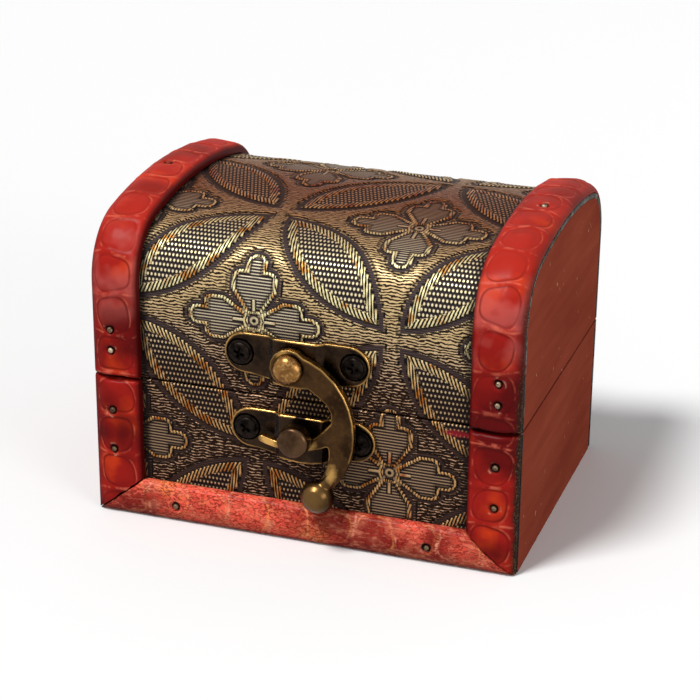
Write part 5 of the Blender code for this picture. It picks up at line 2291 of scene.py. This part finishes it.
    def seat_screws(self, material: Material) -> None:
        """Copies the screw to the place and size of each screw node.

        Args:
            material: The screws' finish.
        """
        model = self.screw()
        hands = ("left", "right")
        names = [f"{title}_plate_screw_{hand}" for title in ("latch", "catch") for hand in hands]
        for leaf in ("lid", "base"):
            names += [f"hinge_{leaf}_screw_{side}_{hand}" for side in hands for hand in hands]
        for name, turn in zip(names, self.screw_turns):
            low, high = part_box(name)
            middle = (low + high) / 2
            on_front = middle.y < 0
            size = (high.x - low.x) / 2 / self.screw_radius
            head = self.screw_rise * size
            seat_y = low.y + head if on_front else high.y - head
            place = Matrix.Translation((middle.x, seat_y, middle.z))
            facing = Matrix.Identity(4) if on_front else Matrix.Rotation(math.pi, 4, "Z")
            spun = Matrix.Rotation(math.radians(turn), 4, "Y")
            piece = copy_piece(model, name, place @ facing @ spun @ Matrix.Scale(size, 4))
            dress(piece, material)
            body = "lid" if ("latch" in name or "_lid_" in name) else "base"
            seat(piece, f"cross_{name}", body, name)
        discard(model)

    def build(self, nodes: dict[str, Piece]) -> None:
        """Builds and dresses all the metalwork.

        Args:
            nodes: The frame's nodes by name.
        """
        plate = BrassFinish("dark_plate_brass", rimmed=True).material()
        hook = BrassFinish(
            "hook_brass", srgb(66, 46, 27), srgb(42, 28, 17), mottle=srgb(118, 82, 42),
            rimmed=True, rim_strength=0.62, wear_and_highlight_spots=self.hook_wear_and_highlight_spots,
        ).material()
        rivet = BrassFinish(
            "rivet_brass", srgb(146, 104, 56), srgb(88, 58, 30), mottle=srgb(206, 160, 98),
            mottling=0.6, turned_levels=self.unworn_levels,
        ).material()
        stud = BrassFinish(
            "stud_brass", srgb(82, 60, 42), srgb(54, 38, 26), mottle=srgb(110, 80, 48),
            turned_levels=self.unworn_levels,
        ).material()
        pieces = []
        plates = (("latch_plate", "lid", "latch_rivet"), ("catch_plate", "base", "catch_stud"))
        for name, body, head in plates:
            covered = (head, f"{name}_screw_left", f"{name}_screw_right")
            piece = self.cast_copy(nodes[name], name, self.rounding, covered, 0)
            pieces.append((piece, name, body, plate))
        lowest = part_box("swing_hook")[0].z + self.neck_height
        covered = ("latch_rivet",)
        piece = self.cast_copy(nodes["swing_hook"], "swing_hook", 2 * self.rounding, covered, lowest)
        pieces.append((piece, "swing_hook", "hook", hook))
        pieces.append((self.rivet(), "latch_rivet", "lid", rivet))
        pieces.append((self.stud(), "catch_stud", "base", stud))
        for piece, name, body, material in pieces:
            dress(piece, material)
            seat(piece, f"cast_{name}", body, name)
        dark = SteelFinish("dark_screw_steel", srgb(34, 28, 24), srgb(14, 11, 10), 0.34)
        self.seat_screws(dark.material())
        self.dress_nodes(nodes)

    def dress_nodes(self, nodes: dict[str, Piece]) -> None:
        """Dresses the nails and the hinges, whose nodes are right as they are.

        Args:
            nodes: The frame's nodes by name.
        """
        leaf = BrassFinish("dark_hinge_brass").material()
        bright = SteelFinish("nail_steel", srgb(176, 158, 132), srgb(92, 74, 58), 0.36).material()
        dull = SteelFinish("dull_nail_steel", srgb(112, 94, 74), srgb(52, 40, 32), 0.46).material()
        dyed = SteelFinish("dyed_nail_steel", srgb(134, 44, 34), srgb(88, 24, 18), 0.46).material()
        for name, node in nodes.items():
            if name == "lid_nail_crown_left":
                dress(node, dyed)
            elif "_nail_" in name:
                dress(node, dull if name.startswith("base") else bright)
                log.info("%s: steel", name)
            elif name.startswith("hinge_") and not node.hide_render:
                dress(node, leaf)
                log.info("%s: darkened brass", name)


# Floor, light and camera


def seen_directly(tree: bpy.types.NodeTree) -> Field:
    """1 for what the camera sees, straight or by a reflection, and 0 for scattered light.

    Args:
        tree: The node tree.

    Returns:
        The share, as a number in the tree.
    """
    path = tree.nodes.new("ShaderNodeLightPath")
    seen, glossy, through = (
        Field(tree, path.outputs[f"Is {kind} Ray"]) for kind in ("Camera", "Glossy", "Transmission")
    )
    return most(most(seen, glossy), through)


@dataclass(frozen=True)
class Studio:
    """A pale floor, soft lamps and the camera at the photograph's angle."""

    lens_mm: float = 111.59
    sensor_mm: float = 36.0
    yaw: float = 0.325931
    pitch: float = 0.394492
    roll: float = 0.0089697
    distance: float = 0.406889
    shift_right: float = 0.0007733
    shift_up: float = 0.0036045
    target_height: float = 0.0300
    floor_size: float = 4.0
    sky: float = 0.30
    floor_bounce: float = 0.32
    key_strength: float = 2.55
    key_breadth: float = math.radians(16)
    key_way: tuple[float, float, float] = (-0.30, -0.42, 0.86)
    side_place: tuple[float, float, float] = (0.80, -0.55, 0.30)
    side_size: float = 0.40
    side_power_watts: float = 2.6
    nearest: float = 0.01
    floor_noise: Grain = (3.0, 2.0)
    floor_dark: Colour = (0.93, 0.93, 0.93)
    floor_light: Colour = (0.96, 0.96, 0.96)
    floor_roughness: float = 0.9

    def camera(self) -> None:
        """Places the camera."""
        turn_cos, turn_sin = math.cos(self.yaw), math.sin(self.yaw)
        tip_cos, tip_sin = math.cos(self.pitch), math.sin(self.pitch)
        forward = Vector((-turn_sin * tip_cos, turn_cos * tip_cos, -tip_sin))
        level = Vector((turn_cos, turn_sin, 0))
        lift = level.cross(forward)
        right = level * math.cos(self.roll) + lift * math.sin(self.roll)
        up = lift * math.cos(self.roll) - level * math.sin(self.roll)
        place = Vector((0, 0, self.target_height)) - forward * self.distance
        place -= right * self.shift_right + up * self.shift_up
        data = bpy.data.cameras.new("camera")
        data.lens = self.lens_mm
        data.sensor_width = self.sensor_mm
        data.clip_start = self.nearest
        camera = new_object("camera", data)
        turn = Matrix((right, up, -forward)).transposed()
        camera.matrix_world = Matrix.Translation(place) @ turn.to_4x4()
        bpy.context.scene.camera = camera

    def side_lamp(self) -> None:
        """A square soft lamp at the right of the front, which faces the box."""
        data = bpy.data.lights.new("side_lamp", "AREA")
        data.shape = "SQUARE"
        data.size = self.side_size
        data.energy = self.side_power_watts
        lamp = new_object("side_lamp", data)
        lamp.location = self.side_place
        way = Vector((0, 0, self.target_height)) - Vector(self.side_place)
        lamp.rotation_euler = way.to_track_quat("-Z", "Y").to_euler()

    def sun(self) -> None:
        """The key light: broad and even, from over the left of the front."""
        data = bpy.data.lights.new("key_lamp", "SUN")
        data.energy = self.key_strength
        data.angle = self.key_breadth
        lamp = new_object("key_lamp", data)
        lamp.rotation_euler = Vector(self.key_way).to_track_quat("Z", "Y").to_euler()

    def floor(self) -> None:
        """A wide pale floor."""
        bpy.ops.object.select_all(action="DESELECT")
        bpy.ops.mesh.primitive_plane_add(size=self.floor_size)
        floor = bpy.context.object
        floor.name = "floor"
        board = Board("pale_floor")
        x, y, z = board.coordinates()
        cloud = board.noise(board.vector(x, y, z), *self.floor_noise)
        pale = board.mix(cloud, self.floor_dark, self.floor_light)
        colour = board.mix(seen_directly(board.tree), (self.floor_bounce,) * 3, pale)
        dress(floor, board.finish(colour, self.floor_roughness))

    def world(self) -> None:
        """An even surround: white to the camera and in reflections, with softer light of its own."""
        world = bpy.data.worlds.new("white_surround")
        bpy.context.scene.world = world
        world.use_nodes = True
        tree = world.node_tree
        background = tree.nodes["Background"]
        background.inputs["Color"].default_value = WHITE
        strength = seen_directly(tree) * (1 - self.sky) + self.sky
        tree.links.new(strength.socket, background.inputs["Strength"])

    def build(self) -> None:
        """Builds the stage."""
        self.camera()
        self.floor()
        self.world()
        self.sun()
        self.side_lamp()
        bpy.context.scene.view_settings.view_transform = "Standard"
        log.info("stage: floor, two lamps and camera")


def corners(box: tuple[Vector, Vector]) -> list[list[float]]:
    """A box's two corners as plain lists."""
    return [list(corner) for corner in box]


def main() -> None:
    """Builds the box's looks in order."""
    logging.basicConfig(level=logging.INFO, format="%(name)s: %(message)s")
    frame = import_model()
    nodes = frame["nodes"]
    Studio().build()
    Covers().build(BrocadeFinish().material())
    red = LeatherclothFinish().material()
    pink = LeatherclothFinish(
        "cracked_scales",
        red=srgb(250, 96, 74),
        orange=srgb(255, 134, 80),
        crimson=srgb(128, 26, 22),
        pale=srgb(255, 164, 128),
        rim=srgb(250, 168, 96),
        rim_share=0.55,
        cracks=0.80,
        roughness=0.44,
    ).material()
    Strips().build(red, pink)
    Boards().build(nodes)
    Metalwork().build(nodes)


if __name__ == "__main__":
    main()
